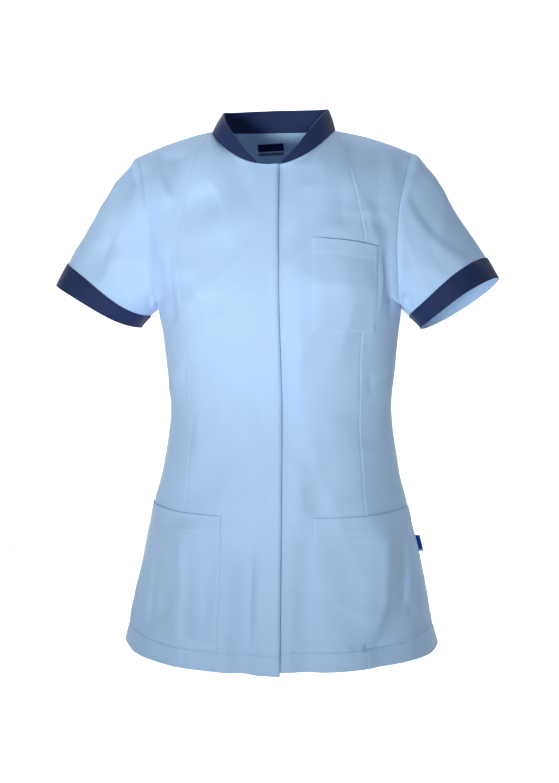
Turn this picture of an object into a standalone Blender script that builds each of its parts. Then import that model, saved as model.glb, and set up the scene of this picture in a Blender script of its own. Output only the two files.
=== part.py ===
"""Short-sleeved medical jacket, hollow as worn, in metres.

Front faces -Y, the wearer's left is +X, +Z is up. The origin lies midway between the two neck points of the shoulders.
Each panel is a cloth wall between an outer and an inner grid of points. The grids come from cross-sections of the body of the jacket.
"""

import math

import bpy
import numpy as np

MM = 0.001

# Cloth and clearances, in millimetres
WALL = 1.3
GAP = 0.3
COLLAR_WALL = 2.0
COLLAR_PROUD = 0.3
LAP_SPACE = 2.4
LAP_STEP = WALL + LAP_SPACE
LABEL_WALL = 0.6

# Shares of the gap by which an edge is drawn back: along a seam, at a neckline or shoulder, at an armhole
SIDE_SHARE = 0.5
END_SHARE = 0.62
ARMHOLE_SHARE = 0.8

# Placket: x of the lap's free edge, of the underlap's free edge, and where the left front has sunk under the lap
FLY_X = 12.0
UNDERLAP_X = -17.0
SINK_FROM_X = 38.0
SINK_FULL_X = 16.0

# Neckline: half width at the shoulder, depth and drop in front, depth and drop behind
NECK_HALF = 78.7
NECK_FRONT = 70.0
NECK_DROP = 39.5
NECK_BACK = 36.0
NECK_BACK_DROP = 2.4
SHOULDER_TIP = (175.0, 2.0, -29.5)
SHOULDER_BOW = 0.52

# Column positions on a row: 0 at the centre, 1 at the side seam or armhole
SEAM_A = 0.58
NECK_POINT_A = 0.66

# Grid cells along each shoulder seam, and round the back of the neck
SHOULDER_CELLS = 6
NECK_CELLS = 12

# The common normal of the two walls at a shoulder seam keeps this share of its y part
SHOULDER_FLATTEN = 0.3

# Sections of the front, from the hem up. v is the height along the cloth, z_c and y_c lie on the centre line,
# z_m is the height at the column of the neck point, x_s y_s z_s lie on the side seam or armhole,
# turn is the direction there in degrees from +X, k_c and k_s are the fullness at the centre and side,
# x_seam is the princess seam, cells the number of grid rows up to the next section.
FRONT_NAMES = ("v", "z_c", "y_c", "z_m", "x_s", "y_s", "z_s", "turn", "k_c", "k_s", "x_seam", "cells")
FRONT = (
    ("hem", 0, -680, -136, -676.5, 206.5, -3, -664.5, 90, 0.60, 0.54, 122, 1),
    ("hem_fold", 26, -654, -134, -651, 199.5, -3, -640, 90, 0.59, 0.57, 121, 2),
    ("low_hip", 80, -597, -131, -596, 189.5, -3, -590, 90, 0.56, 0.56, 119, 2),
    ("hip", 135, -541, -127, -541, 178.5, -4, -535, 90, 0.56, 0.56, 117, 2),
    ("hip_pocket", 192, -480, -121, -481, 165.0, -6, -481, 90, 0.56, 0.56, 114.5, 2),
    ("high_hip", 240, -432, -116, -431, 153.5, -8, -430, 90, 0.56, 0.56, 111, 3),
    ("waist", 322, -348, -108, -348, 143.9, -8, -348, 90, 0.56, 0.56, 107.5, 2),
    ("midriff", 372, -297, -113, -298, 149.0, -4, -300, 90, 0.57, 0.56, 108.5, 2),
    ("underbust", 415, -244.5, -119, -250, 153.2, 0, -262, 90, 0.60, 0.54, 113, 2),
    ("underarm", 452, -207, -120, -213, 157.5, 0, -227, 90, 0.62, 0.52, 115, 1),
    ("arm_low", 480, -182, -117, -191, 157.0, -30, -216, 66, 0.60, 0.48, 117, 3),
    ("chest", 545, -129, -104, -141, 156.5, -54, -153, 44, 0.50, 0.40, 118, 2),
    ("arm_high", 595, -92, -92, -85, 160.5, -48, -98, 34, 0.42, 0.36, 110, 2),
    ("yoke", 632, -62, -80, -36, 168.0, -28, -57, 22, 0.33, 0.33, 97, 4),
)
FRONT_TOP_V = 685.0

BACK = (
    ("hem", 0, -676, 128, -673, 206.5, -3, -664.5, 90, 0.56, 0.56, 118, 1),
    ("hem_fold", 26, -650, 127, -648, 199.5, -3, -640, 90, 0.56, 0.56, 116, 2),
    ("low_hip", 80, -596, 124, -595, 189.5, -3, -590, 90, 0.56, 0.56, 110, 2),
    ("hip", 135, -540, 119, -540, 178.5, -4, -535, 90, 0.57, 0.56, 104, 2),
    ("hip_pocket", 192, -482, 110, -482, 165.0, -6, -481, 90, 0.57, 0.56, 97, 2),
    ("high_hip", 240, -431, 99, -431, 153.5, -8, -430, 90, 0.56, 0.56, 90, 3),
    ("waist", 322, -348, 86, -348, 143.9, -8, -348, 90, 0.56, 0.56, 85, 2),
    ("midriff", 372, -298, 88, -298, 149.0, -4, -300, 90, 0.56, 0.56, 88, 2),
    ("underbust", 415, -250, 94, -254, 153.2, 0, -262, 90, 0.58, 0.54, 91, 2),
    ("underarm", 452, -215, 98, -220, 157.5, 0, -227, 90, 0.60, 0.52, 94, 1),
    ("arm_low", 480, -195, 100, -200, 157.0, 30, -216, 66, 0.60, 0.48, 94, 3),
    ("chest", 548, -150, 101, -148, 157.5, 54, -152, 44, 0.55, 0.40, 94, 2),
    ("arm_high", 605, -92, 90, -84, 162.0, 50, -98, 34, 0.45, 0.36, 92, 2),
    ("yoke", 650, -42, 66, -22, 169.0, 28, -55, 22, 0.35, 0.33, 88, 4),
)
BACK_TOP_V = 692.0

# Soft folds of the skirt. y is the side they hang on, x_top and x_hem the line of the fold, depth is inward.
FOLD_NAMES = ("face", "x_top", "x_hem", "width", "depth", "z_top", "z_full")
FOLDS = (
    ("front_trough_right", -1, -34, -40, 17, 4.5, -455, -590),
    ("front_trough_left", -1, 38, 43, 15, 4.0, -455, -580),
    ("front_ridge_right", -1, -100, -122, 20, -3.0, -470, -610),
    ("pocket_fold_left", -1, 150, 138, 16, 3.5, -480, -580),
    ("back_trough_right", 1, -70, -96, 24, 5.0, -420, -600),
    ("back_trough_middle", 1, -8, -18, 22, 3.5, -440, -600),
    ("back_trough_left", 1, 62, 80, 24, 4.5, -430, -610),
    ("back_ridge_left", 1, 118, 142, 18, -3.0, -450, -620),
)

# Bust: centre of each soft rise, its radius and height
BUST_X = 88.0
BUST_Z = -192.0
BUST_R = 48.0
BUST_RISE = 7.0

# The hanging form leans: the shoulders sit to the wearer's right of the hem and the left shoulder is raised
LEAN_X = 9.5
LEAN_DEPTH = 450.0
ROLL = 0.013
ROLL_FROM_Z = -150.0
ROLL_TO_Z = -430.0

# Sleeves. x z centre of the cuff's lower edge, width its half width there, slope of that width in degrees,
# tilt of the opening to the front, outer and inner depth of the navy band, sag of the front edge near the body.
CUFF_NAMES = ("side", "x", "z", "width", "slope", "tilt", "outer", "inner", "sag")
CUFFS = (
    ("right", -1, 235.0, -224.2, 61.1, 27.0, 3.5, 30.0, 19.0, 4.0),
    ("left", 1, 233.1, -220.8, 59.9, 33.0, 13.0, 26.0, 22.0, 2.5),
)
CUFF_Y = -4.0
CUFF_HALF_DEPTH = 49.0
SLEEVE_ROWS = 9
CUFF_ROWS = 3

# Collar: height by distance from the back centre (0) to the front end (1), and inward lean in degrees
COLLAR_AT = (0.0, 0.42, 0.62, 0.78, 0.90, 0.97, 1.0)
COLLAR_HEIGHT = (30.0, 29.5, 26.0, 20.0, 12.5, 6.5, 3.2)
COLLAR_LEAN = 17.0
COLLAR_LEAN_RIGHT = 13.0
COLLAR_ROWS = 4
COLLAR_END_X = 16.0

# Pockets
# x of the pockets' upright edges, by height v along the cloth
POCKET_LEFT_X = ((26.0, 57.5), (192.0, 52.8), (415.0, 51.7), (545.0, 54.2))
POCKET_RIGHT_X = ((26.0, -69.0), (192.0, -65.3), (415.0, -60.0))
CHEST_POCKET_OUT_X = ((415.0, 127.2), (545.0, 132.8))
POCKET_FULLNESS = 1.6
HIP_POCKET_LEFT_RISE = 0.33

# The left front's hem hangs a little higher than the right one's
HEM_LIFT = 3.8
HEM_LIFT_V = 150.0

# Labels, in x and z on the inside of the back, and the folded tab in the side seam
NECK_LABEL = (-27.6, 6.2, -25.9, -16.0)
SIZE_LABEL = (-27.6, 5.5, -31.4, -28.0)
SIDE_TAB_Z = (-543.0, -521.5)
SIDE_TAB_OUT = 7.0
SIDE_TAB_WALL = 1.2

STUD_Z = (-62.0, -160.0, -256.0, -352.0, -448.0, -544.0)
STUD_RADIUS = 5.5
STUD_THICK = 1.5

COLOURS = {
    "cloth": (0.45, 0.62, 0.88, 1.0),
    "navy": (0.022, 0.035, 0.10, 1.0),
    "label": (0.004, 0.012, 0.055, 1.0),
    "strip": (0.35, 0.38, 0.42, 1.0),
    "tab": (0.01, 0.09, 0.38, 1.0),
    "metal": (0.55, 0.56, 0.58, 1.0),
}


# Grid row of the underarm, the same on the front and the back
ARMHOLE_ROW = sum(section[-1] for section in FRONT[:9])


def smooth(t):
    t = np.clip(t, 0.0, 1.0)
    return t * t * (3.0 - 2.0 * t)


def unit(p):
    length = np.linalg.norm(p, axis=-1, keepdims=True)
    return p / np.maximum(length, 1e-12)


def slopes(knots, values):
    """Slopes at the knots that let no curve pass beyond its data."""
    shape = (-1,) + (1,) * (values.ndim - 1)
    h = np.diff(knots).reshape(shape)
    d = np.diff(values, axis=0) / h
    m = np.empty_like(values)
    m[0] = d[0]
    m[-1] = d[-1]
    before, after = d[:-1], d[1:]
    w1 = 2.0 * h[1:] + h[:-1]
    w2 = h[1:] + 2.0 * h[:-1]
    same = before * after > 1e-12
    safe_before = np.where(same, before, 1.0)
    safe_after = np.where(same, after, 1.0)
    m[1:-1] = np.where(same, (w1 + w2) / (w1 / safe_before + w2 / safe_after), 0.0)
    return m


def hermite(knots, values, m, at):
    """Values between the knots. values and m are (knots, points, ...) and at has one entry for each point."""
    k = np.clip(np.searchsorted(knots, at, side="right") - 1, 0, len(knots) - 2)
    n = np.arange(len(at))
    h = (knots[k + 1] - knots[k])[:, None]
    t = ((at - knots[k]) / (knots[k + 1] - knots[k]))[:, None]
    p0, p1 = values[k, n], values[k + 1, n]
    m0, m1 = m[k, n] * h, m[k + 1, n] * h
    return (
        (2 * t**3 - 3 * t**2 + 1) * p0
        + (t**3 - 2 * t**2 + t) * m0
        + (3 * t**2 - 2 * t**3) * p1
        + (t**3 - t**2) * m1
    )


def monotone(knots, values, at):
    """One smooth curve through a short list of values, read at each entry of at."""
    knots = np.asarray(knots, float)
    values = np.asarray(values, float)
    m = slopes(knots, values)
    spread = np.repeat(values[:, None, None], len(at), axis=1)
    spread_m = np.repeat(m[:, None, None], len(at), axis=1)
    return hermite(knots, spread, spread_m, np.asarray(at, float))[:, 0]


def row_of(section):
    return dict(zip(FRONT_NAMES, section[1:]))


def section_points(row, a):
    """Points of one section at the columns a, 0 to 1, on the +X side."""
    x_s, y_s, y_c = row["x_s"], row["y_s"], row["y_c"]
    turn = math.radians(row["turn"])
    reach = abs(y_s - y_c) * math.sin(turn) + 0.6 * x_s * math.cos(turn)
    towards = 1.0 if y_s > y_c else -1.0
    p1 = (row["k_c"] * x_s, y_c)
    p2 = (
        x_s - row["k_s"] * reach * math.cos(turn),
        y_s - towards * row["k_s"] * reach * math.sin(turn),
    )

    def arc(t):
        b0, b1 = (1 - t) ** 3, 3 * t * (1 - t) ** 2
        b2, b3 = 3 * t * t * (1 - t), t**3
        x = b1 * p1[0] + b2 * p2[0] + b3 * x_s
        y = b0 * y_c + b1 * p1[1] + b2 * p2[1] + b3 * y_s
        return x, y

    fine = np.linspace(0.0, 1.0, 401)
    t_seam = float(np.interp(row["x_seam"], arc(fine)[0], fine))
    t = monotone((0.0, SEAM_A, 1.0), (0.0, t_seam, 1.0), a)
    x, y = arc(t)
    knots = (0.0, 0.12, NECK_POINT_A, 1.0)
    z = monotone(knots, (row["z_c"], row["z_c"], row["z_m"], row["z_s"]), a)
    return np.stack([x, y, z], axis=1)


def top_points(a, back):
    """The neckline from the centre to the neck point, then the shoulder seam to its tip."""
    psi = np.clip(a / NECK_POINT_A, 0.0, 1.0) * math.pi / 2
    x = NECK_HALF * np.sin(psi)
    if back:
        y = NECK_BACK * np.cos(psi)
        z = -NECK_BACK_DROP * np.cos(psi)
    else:
        y = -NECK_FRONT * np.cos(psi) ** 0.95
        z = -NECK_DROP * (1.0 - (x / NECK_HALF) ** 2.2)
    neck = np.stack([x, y, z], axis=1)
    q = np.clip((a - NECK_POINT_A) / (1.0 - NECK_POINT_A), 0.0, 1.0)
    tip = np.array(SHOULDER_TIP)
    shoulder = np.stack(
        [
            NECK_HALF + (tip[0] - NECK_HALF) * q,
            tip[1] * q,
            tip[2] * (SHOULDER_BOW * q + (1.0 - SHOULDER_BOW) * q * q),
        ],
        axis=1,
    )
    return np.where((a > NECK_POINT_A)[:, None], shoulder, neck)


def top_direction(a, back):
    """Direction of the columns where they reach the neckline or the shoulder seam."""
    towards = -1.0 if back else 1.0
    rise = math.radians(52.0 if back else 70.0) * (1.0 - smooth(a / NECK_POINT_A))
    speed = (0.85 if back else 0.42) + (0.15 if back else 0.58) * smooth(a / NECK_POINT_A)
    return np.stack([0.0 * a, towards * speed * np.cos(rise), speed * np.sin(rise)], axis=1)


def folds(points, face):
    """Points moved in or out by the soft folds of the skirt."""
    x, y, z = points[:, 0], points[:, 1], points[:, 2]
    depth = np.zeros(len(points))
    for fold in FOLDS:
        f = dict(zip(FOLD_NAMES, fold[1:]))
        if f["face"] != face:
            continue
        along = np.clip((f["z_top"] - z) / (f["z_top"] + 680.0), 0.0, 1.0)
        line = f["x_top"] + (f["x_hem"] - f["x_top"]) * along
        grown = smooth((f["z_top"] - z) / (f["z_top"] - f["z_full"]))
        depth += f["depth"] * grown * np.exp(-(((x - line) / f["width"]) ** 2))
    away = unit(np.stack([x, y * 1.6, 0.0 * z], axis=1))
    return points - depth[:, None] * away


def hem_lift(x, v, from_x=12.0):
    held = 1.0 - smooth((x - 168.0) / 36.0)
    return HEM_LIFT * smooth((x - from_x) / 28.0) * held * (1.0 - smooth(v / HEM_LIFT_V))


def body(a, v, back=False):
    """Points of the outer face of the jacket's body at columns a (-1 to 1) and heights v, before it leans."""
    shape = np.shape(a)
    a = np.ravel(np.asarray(a, float))
    v = np.ravel(np.asarray(v, float))
    table = BACK if back else FRONT
    top_v = BACK_TOP_V if back else FRONT_TOP_V
    knots = np.array([row_of(s)["v"] for s in table] + [top_v], float)
    size = np.abs(a)
    rows = [section_points(row_of(s), size) for s in table] + [top_points(size, back)]
    rows = np.stack(rows)
    m = slopes(knots, rows)
    m[-1] = top_direction(size, back)
    points = hermite(knots, rows, m, v)
    if not back:
        spread = ((points[:, 0] - BUST_X) ** 2 + (points[:, 2] - BUST_Z) ** 2) / BUST_R**2
        points[:, 1] -= BUST_RISE * np.exp(-spread)
    points[:, 0] *= np.where(a < 0, -1.0, 1.0)
    points = folds(points, 1 if back else -1)
    points[:, 2] += hem_lift(points[:, 0], v) * (points[:, 1] < 0.0 if back else 1.0)
    return points.reshape(shape + (3,))


def lean(points):
    """The lean of the worn form, which turns the shoulders a little and keeps the hem level."""
    x, y, z = points[..., 0], points[..., 1], points[..., 2]
    down = np.clip(-z / LEAN_DEPTH, -0.2, 1.0)
    roll = ROLL * (1.0 - smooth((ROLL_FROM_Z - z) / (ROLL_FROM_Z - ROLL_TO_Z)))
    return np.stack([x + LEAN_X * np.sin(down * math.pi / 2), y, z + roll * x], axis=-1)


def heights(table, top_v):
    """Heights of the grid rows, and the grid row of each named section."""
    v, at = [], {}
    ends = [row_of(s)["v"] for s in table[1:]] + [top_v]
    for section, end in zip(table, ends):
        row = row_of(section)
        at[section[0]] = len(v)
        v.extend(row["v"] + (end - row["v"]) * np.arange(row["cells"]) / row["cells"])
    at["top"] = len(v)
    v.append(top_v)
    return np.array(v, float), at


def column_of_x(x, v, back=False):
    """The column at which each row reaches x."""
    fine = np.linspace(0.0, 0.9, 181)
    found = []
    for one_v, one_x in zip(v, np.broadcast_to(x, v.shape)):
        reached = body(fine, np.full(181, one_v), back)[:, 0]
        found.append(np.sign(one_x) * np.interp(abs(one_x), reached, fine))
    return np.array(found)


def by_height(pairs, v):
    return np.interp(v, [p[0] for p in pairs], [p[1] for p in pairs])


def between(first, last, cells):
    """The columns after first, up to and with last."""
    steps = np.arange(1, cells + 1) / cells
    return [first + (last - first) * s for s in steps]


def front_columns(v):
    """Column value of each grid line on each row, and the grid line of each named edge."""
    one = np.ones_like(v)
    out_x = by_height(CHEST_POCKET_OUT_X, v)
    held = smooth((v - 322.0) / 90.0) * (1.0 - smooth((v - 550.0) / 80.0))
    out = (NECK_POINT_A + (1.0 - NECK_POINT_A) / SHOULDER_CELLS) * (1.0 - held) + column_of_x(out_x, v) * held
    lines = [-one]
    names = {"armhole_right": 0}

    def add(name, column, cells):
        lines.extend(between(lines[-1], column, cells))
        names[name] = len(lines) - 1

    add("neck_point_right", -NECK_POINT_A * one, SHOULDER_CELLS)
    add("seam_right", -SEAM_A * one, 1)
    add("hip_pocket_right", column_of_x(by_height(POCKET_RIGHT_X, v), v), 3)
    add("underlap", column_of_x(UNDERLAP_X, v), 3)
    add("fly", column_of_x(FLY_X, v), 2)
    add("collar_left", column_of_x(COLLAR_END_X, v), 1)
    add("sink_end", column_of_x(SINK_FROM_X, v), 2)
    add("pocket_left", column_of_x(by_height(POCKET_LEFT_X, v), v), 1)
    add("seam_left", SEAM_A * one, 4)
    add("neck_point_left", NECK_POINT_A * one, 1)
    add("chest_pocket_out", out, 1)
    add("armhole_left", one, SHOULDER_CELLS - 1)
    return np.stack(lines, axis=1), names


def back_columns(v):
    one = np.ones_like(v)
    lines = [one]
    lines.extend(between(one, NECK_POINT_A * one, SHOULDER_CELLS))
    lines.extend(between(NECK_POINT_A * one, -NECK_POINT_A * one, NECK_CELLS))
    lines.extend(between(-NECK_POINT_A * one, -one, SHOULDER_CELLS))
    return np.stack(lines, axis=1)


def grid_normals(points, ring=False):
    """Normals of a grid, for columns that run to the right and rows that run up as seen from outside."""
    if ring:
        du = np.roll(points, -1, axis=1) - np.roll(points, 1, axis=1)
    else:
        du = np.gradient(points, axis=1)
    dv = np.gradient(points, axis=0)
    return unit(np.cross(du, dv))


def edge_shift(points, normals, side, amount):
    """Moves an edge row or column into its own panel by amount, square to the seam's normals."""
    if side in ("left", "right"):
        edge = 0 if side == "left" else -1
        inner = 1 if side == "left" else -2
        line, n, inward = points[:, edge], normals[:, edge], points[:, inner] - points[:, edge]
    else:
        edge = 0 if side == "bottom" else -1
        inner = 1 if side == "bottom" else -2
        line, n, inward = points[edge], normals[edge], points[inner] - points[edge]
    d = unit(np.cross(n, unit(np.gradient(line, axis=0))))
    d *= np.sign(np.sum(d * inward, axis=-1, keepdims=True))
    return d * amount


def cloth(points, normals, mitre=None, sides=(), wall=WALL, out=0.0, armholes=()):
    """Outer and inner grids of a panel, with its seam edges drawn back by their share of the gap."""
    if mitre is None:
        mitre = np.ones(points.shape[:2])
    outer = points + normals * (out * mitre)[..., None]
    inner = points + normals * ((out - wall) * mitre)[..., None]
    for side in sides:
        back_by = SIDE_SHARE if side in ("left", "right") else END_SHARE
        d = edge_shift(points, normals, side, GAP * back_by)
        if side in armholes:
            d[ARMHOLE_ROW + 1 :] *= ARMHOLE_SHARE / SIDE_SHARE
        if side == "left":
            outer[:, 0] += d
            inner[:, 0] += d
        elif side == "right":
            outer[:, -1] += d
            inner[:, -1] += d
        elif side == "bottom":
            outer[0] += d
            inner[0] += d
        else:
            outer[-1] += d
            inner[-1] += d
    return outer, inner


def faces_of(rows, columns, ring):
    """Triangles of a closed wall between an outer and an inner grid."""
    count = rows * columns
    span = columns if ring else columns - 1
    tris = []
    for i in range(rows - 1):
        for j in range(span):
            k = (j + 1) % columns
            a, b = i * columns + j, i * columns + k
            c, d = (i + 1) * columns + k, (i + 1) * columns + j
            tris += [(a, b, c), (a, c, d)]
            tris += [(a + count, c + count, b + count), (a + count, d + count, c + count)]
    last = (rows - 1) * columns
    for j in range(span):
        k = (j + 1) % columns
        tris += [(j, j + count, k + count), (j, k + count, k)]
        a, b = last + j, last + k
        tris += [(a, b, b + count), (a, b + count, a + count)]
    if not ring:
        for i in range(rows - 1):
            a, b = i * columns, (i + 1) * columns
            tris += [(a, b, b + count), (a, b + count, a + count)]
            a, b = a + columns - 1, b + columns - 1
            tris += [(a, a + count, b + count), (a, b + count, b)]
    return tris


def make_mesh(name, points, tris, colour):
    """One closed object, turned so that its faces point out."""
    corners = points[np.array(tris)]
    volume = np.einsum("ij,ij->i", corners[:, 0], np.cross(corners[:, 1], corners[:, 2])).sum()
    if volume < 0:
        tris = [t[::-1] for t in tris]
    mesh = bpy.data.meshes.new(name)
    mesh.from_pydata((points * MM).tolist(), [], [tuple(int(i) for i in t) for t in tris])
    mesh.update()
    obj = bpy.data.objects.new(name, mesh)
    material = bpy.data.materials.new(name)
    material.use_nodes = True
    shader = material.node_tree.nodes["Principled BSDF"]
    shader.inputs["Base Color"].default_value = COLOURS[colour]
    shader.inputs["Roughness"].default_value = 0.35 if colour == "metal" else 0.8
    shader.inputs["Metallic"].default_value = 0.9 if colour == "metal" else 0.0
    mesh.materials.append(material)
    mesh.polygons.foreach_set("use_smooth", [True] * len(mesh.polygons))
    mesh.set_sharp_from_angle(angle=math.radians(50.0))
    return obj


def wall_object(name, outer, inner, colour, ring=False):
    rows, columns = outer.shape[:2]
    points = np.concatenate([outer.reshape(-1, 3), inner.reshape(-1, 3)])
    return make_mesh(name, lean(points), faces_of(rows, columns, ring), colour)


class Jacket:
    """The grids that the panels share."""

    def __init__(self):
        self.front_v, self.front_at = heights(FRONT, FRONT_TOP_V)
        self.back_v, self.back_at = heights(BACK, BACK_TOP_V)
        self.front_a, self.line = front_columns(self.front_v)
        self.back_a = back_columns(self.back_v)
        self.front = body(self.front_a, np.repeat(self.front_v[:, None], self.front_a.shape[1], 1))
        self.back = body(self.back_a, np.repeat(self.back_v[:, None], self.back_a.shape[1], 1), True)
        self.front_n = grid_normals(self.front)
        self.back_n = grid_normals(self.back)
        self.front_mitre = np.ones(self.front.shape[:2])
        self.back_mitre = np.ones(self.back.shape[:2])
        self.join_side_and_shoulder()
        self.sleeves = {side: self.sleeve(side) for side in (-1, 1)}
        self.collar_grid()

    def join_side_and_shoulder(self):
        """Gives the front and the back one normal along the side seams and the shoulder seams."""
        under = self.front_at["underarm"]
        for front_edge, back_edge in ((0, -1), (-1, 0)):
            f = self.front_n[: under + 1, front_edge]
            b = self.back_n[: under + 1, back_edge]
            both = unit(f + b)
            self.front_n[: under + 1, front_edge] = both
            self.back_n[: under + 1, back_edge] = both
        for i in range(SHOULDER_CELLS + 1):
            for on_front, on_back in ((i, -1 - i), (-1 - i, i)):
                both = unit(self.front_n[-1, on_front] + self.back_n[-1, on_back])
                both = unit(both * (1.0, SHOULDER_FLATTEN, 1.0))
                self.front_n[-1, on_front] = both
                self.back_n[-1, on_back] = both

    def sleeve(self, side):
        """Outer grid of a sleeve, rings from the armhole to the end, with the armhole's common normals and mitres."""
        under = self.front_at["underarm"]
        front_edge, back_edge = (0, -1) if side < 0 else (-1, 0)
        up = self.front[under:, front_edge]
        down = self.back[under:, back_edge][::-1]
        start = np.concatenate([up, down[1:-1]])
        n = len(up)

        def share(line):
            steps = np.linalg.norm(np.diff(line, axis=0), axis=1)
            return np.concatenate([[0.0], np.cumsum(steps)]) / steps.sum()

        turn = np.concatenate([share(up), 1.0 + share(down)[1:-1]]) * math.pi
        c, s = -np.cos(turn), np.sin(turn)
        cuff = next(dict(zip(CUFF_NAMES, c[1:])) for c in CUFFS if c[1] == side)
        slope, tilt = math.radians(cuff["slope"]), math.radians(cuff["tilt"])
        e1 = np.array([side * math.cos(slope), 0.0, math.sin(slope)])
        down_axis = np.array([side * math.sin(slope), 0.0, -math.cos(slope)])
        axis = math.cos(tilt) * down_axis + np.array([0.0, -math.sin(tilt), 0.0])
        e2 = np.array([0.0, -math.cos(tilt), 0.0]) - math.sin(tilt) * down_axis
        centre = np.array([side * cuff["x"], CUFF_Y, cuff["z"]])
        end = centre + c[:, None] * e1 * cuff["width"] + s[:, None] * e2 * CUFF_HALF_DEPTH
        end += (cuff["sag"] * np.exp(-(((turn - 0.33 * math.pi) / 0.7) ** 2)))[:, None] * axis
        tip, low = ((1 + c) / 2) ** 2, ((1 - c) / 2) ** 2
        mid = 1.0 - tip - low
        d0 = (
            tip[:, None] * np.array([side * 0.93, 0.0, -0.37 + 0.04 * side])
            + low[:, None] * np.array([side * 0.62, 0.0, -0.78])
            + mid[:, None] * np.array([side * 0.84, 0.0, -0.50])
        )
        d0[:, 1] -= 0.20 * s
        m0 = unit(d0) * (tip * 62.0 + low * 28.0 + mid * 110.0)[:, None]
        m1 = axis * (tip * 205.0 + low * 34.0 + mid * 120.0)[:, None]
        depth = cuff["inner"] + (cuff["outer"] - cuff["inner"]) * (1 + c) / 2
        length = np.linalg.norm(end - start, axis=1)
        cut = 1.0 - depth / length * 0.98
        rings = SLEEVE_ROWS - CUFF_ROWS
        grid = []
        for i in range(SLEEVE_ROWS + 1):
            if i <= rings:
                t = cut * (i / rings) ** 0.85
            else:
                t = cut + (1.0 - cut) * (i - rings) / CUFF_ROWS
            t = t[:, None]
            grid.append(
                (2 * t**3 - 3 * t**2 + 1) * start
                + (t**3 - 2 * t**2 + t) * m0
                + (3 * t**2 - 2 * t**3) * end
                + (t**3 - t**2) * m1
            )
        grid = np.stack(grid)
        normals = grid_normals(grid, ring=True)
        if side > 0:
            normals = -normals
        panel_n = np.concatenate(
            [self.front_n[under:, front_edge], self.back_n[under:, back_edge][::-1][1:-1]]
        )
        common = unit(panel_n + normals[0])
        sleeve_mitre = np.ones(grid.shape[:2])
        sleeve_mitre[0] = np.minimum(1.0 / np.maximum(np.sum(common * normals[0], 1), 0.3), 2.0)
        panel_mitre = np.minimum(1.0 / np.maximum(np.sum(common * panel_n, 1), 0.3), 2.0)
        normals[0] = common
        self.front_n[under:, front_edge] = common[:n]
        self.front_mitre[under:, front_edge] = panel_mitre[:n]
        self.back_n[under:, back_edge] = np.concatenate([common[n - 1 :], common[:1]])[::-1]
        back_mitre = np.concatenate([panel_mitre[n - 1 :], panel_mitre[:1]])[::-1]
        self.back_mitre[under:, back_edge] = back_mitre
        return grid, normals, sleeve_mitre

    def collar_grid(self):
        """Outer grid of the stand collar, from its right front end round the back to its left front end."""
        first, last = self.line["underlap"], self.line["collar_left"]
        neck_r, neck_l = self.line["neck_point_right"], self.line["neck_point_left"]
        right = self.front[-1, neck_r : first + 1][::-1]
        left = self.front[-1, last : neck_l + 1][::-1]
        nape = slice(SHOULDER_CELLS, SHOULDER_CELLS + NECK_CELLS + 1)
        behind = self.back[-1, nape][::-1]
        base = np.concatenate([right, behind[1:-1], left])
        panel_n = np.concatenate(
            [
                self.front_n[-1, neck_r : first + 1][::-1],
                self.back_n[-1, nape][::-1][1:-1],
                self.front_n[-1, last : neck_l + 1][::-1],
            ]
        )
        steps = np.linalg.norm(np.diff(base, axis=0), axis=1)
        along = np.concatenate([[0.0], np.cumsum(steps)])
        back_mid = along[len(right) - 1 + NECK_CELLS // 2]
        span = np.where(along < back_mid, back_mid, along[-1] - back_mid)
        share = np.abs(along - back_mid) / span
        height = np.interp(share, COLLAR_AT, COLLAR_HEIGHT)
        tangent = unit(np.gradient(base, axis=0))
        up = unit(np.array([0.0, 0.0, 1.0]) - tangent[:, 2:3] * tangent)
        away = unit(np.cross(up, tangent))
        away *= np.sign(np.sum(away * (base - (0.0, -15.0, base[:, 2].mean())), axis=1, keepdims=True))
        rightward = np.clip(-base[:, 0] / NECK_HALF, 0.0, 1.0) * smooth((base[:, 1] + 45.0) / 35.0)
        tilt = np.radians(COLLAR_LEAN + COLLAR_LEAN_RIGHT * rightward)[:, None]
        rise = up * np.cos(tilt) - away * np.sin(tilt)
        normal = unit(away * np.cos(tilt) + up * np.sin(tilt))
        common = unit(panel_n + normal)
        grid = np.stack([base + rise * (height * k / COLLAR_ROWS)[:, None] for k in range(COLLAR_ROWS + 1)])
        normals = np.repeat(normal[None], COLLAR_ROWS + 1, axis=0)
        normals[0] = common
        mitre = np.ones(grid.shape[:2])
        mitre[0] = np.minimum(1.0 / np.maximum(np.sum(common * normal, 1), 0.3), 1.6)
        self.collar = (grid, normals, mitre)
        panel_mitre = np.minimum(1.0 / np.maximum(np.sum(common * panel_n, 1), 0.3), 1.6)
        count = len(right)
        self.front_n[-1, neck_r : first + 1] = common[:count][::-1]
        self.front_mitre[-1, neck_r : first + 1] = panel_mitre[:count][::-1]
        self.front_n[-1, last : neck_l + 1] = common[-len(left) :][::-1]
        self.front_mitre[-1, last : neck_l + 1] = panel_mitre[-len(left) :][::-1]
        self.back_n[-1, nape] = common[count - 1 : count + NECK_CELLS][::-1]
        self.back_mitre[-1, nape] = panel_mitre[count - 1 : count + NECK_CELLS][::-1]

    def sink(self):
        """How far the left front lies in from the body's face, by grid point."""
        x = self.front[..., 0]
        return LAP_STEP * (1.0 - smooth((x - SINK_FULL_X) / (SINK_FROM_X - SINK_FULL_X)))


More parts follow.
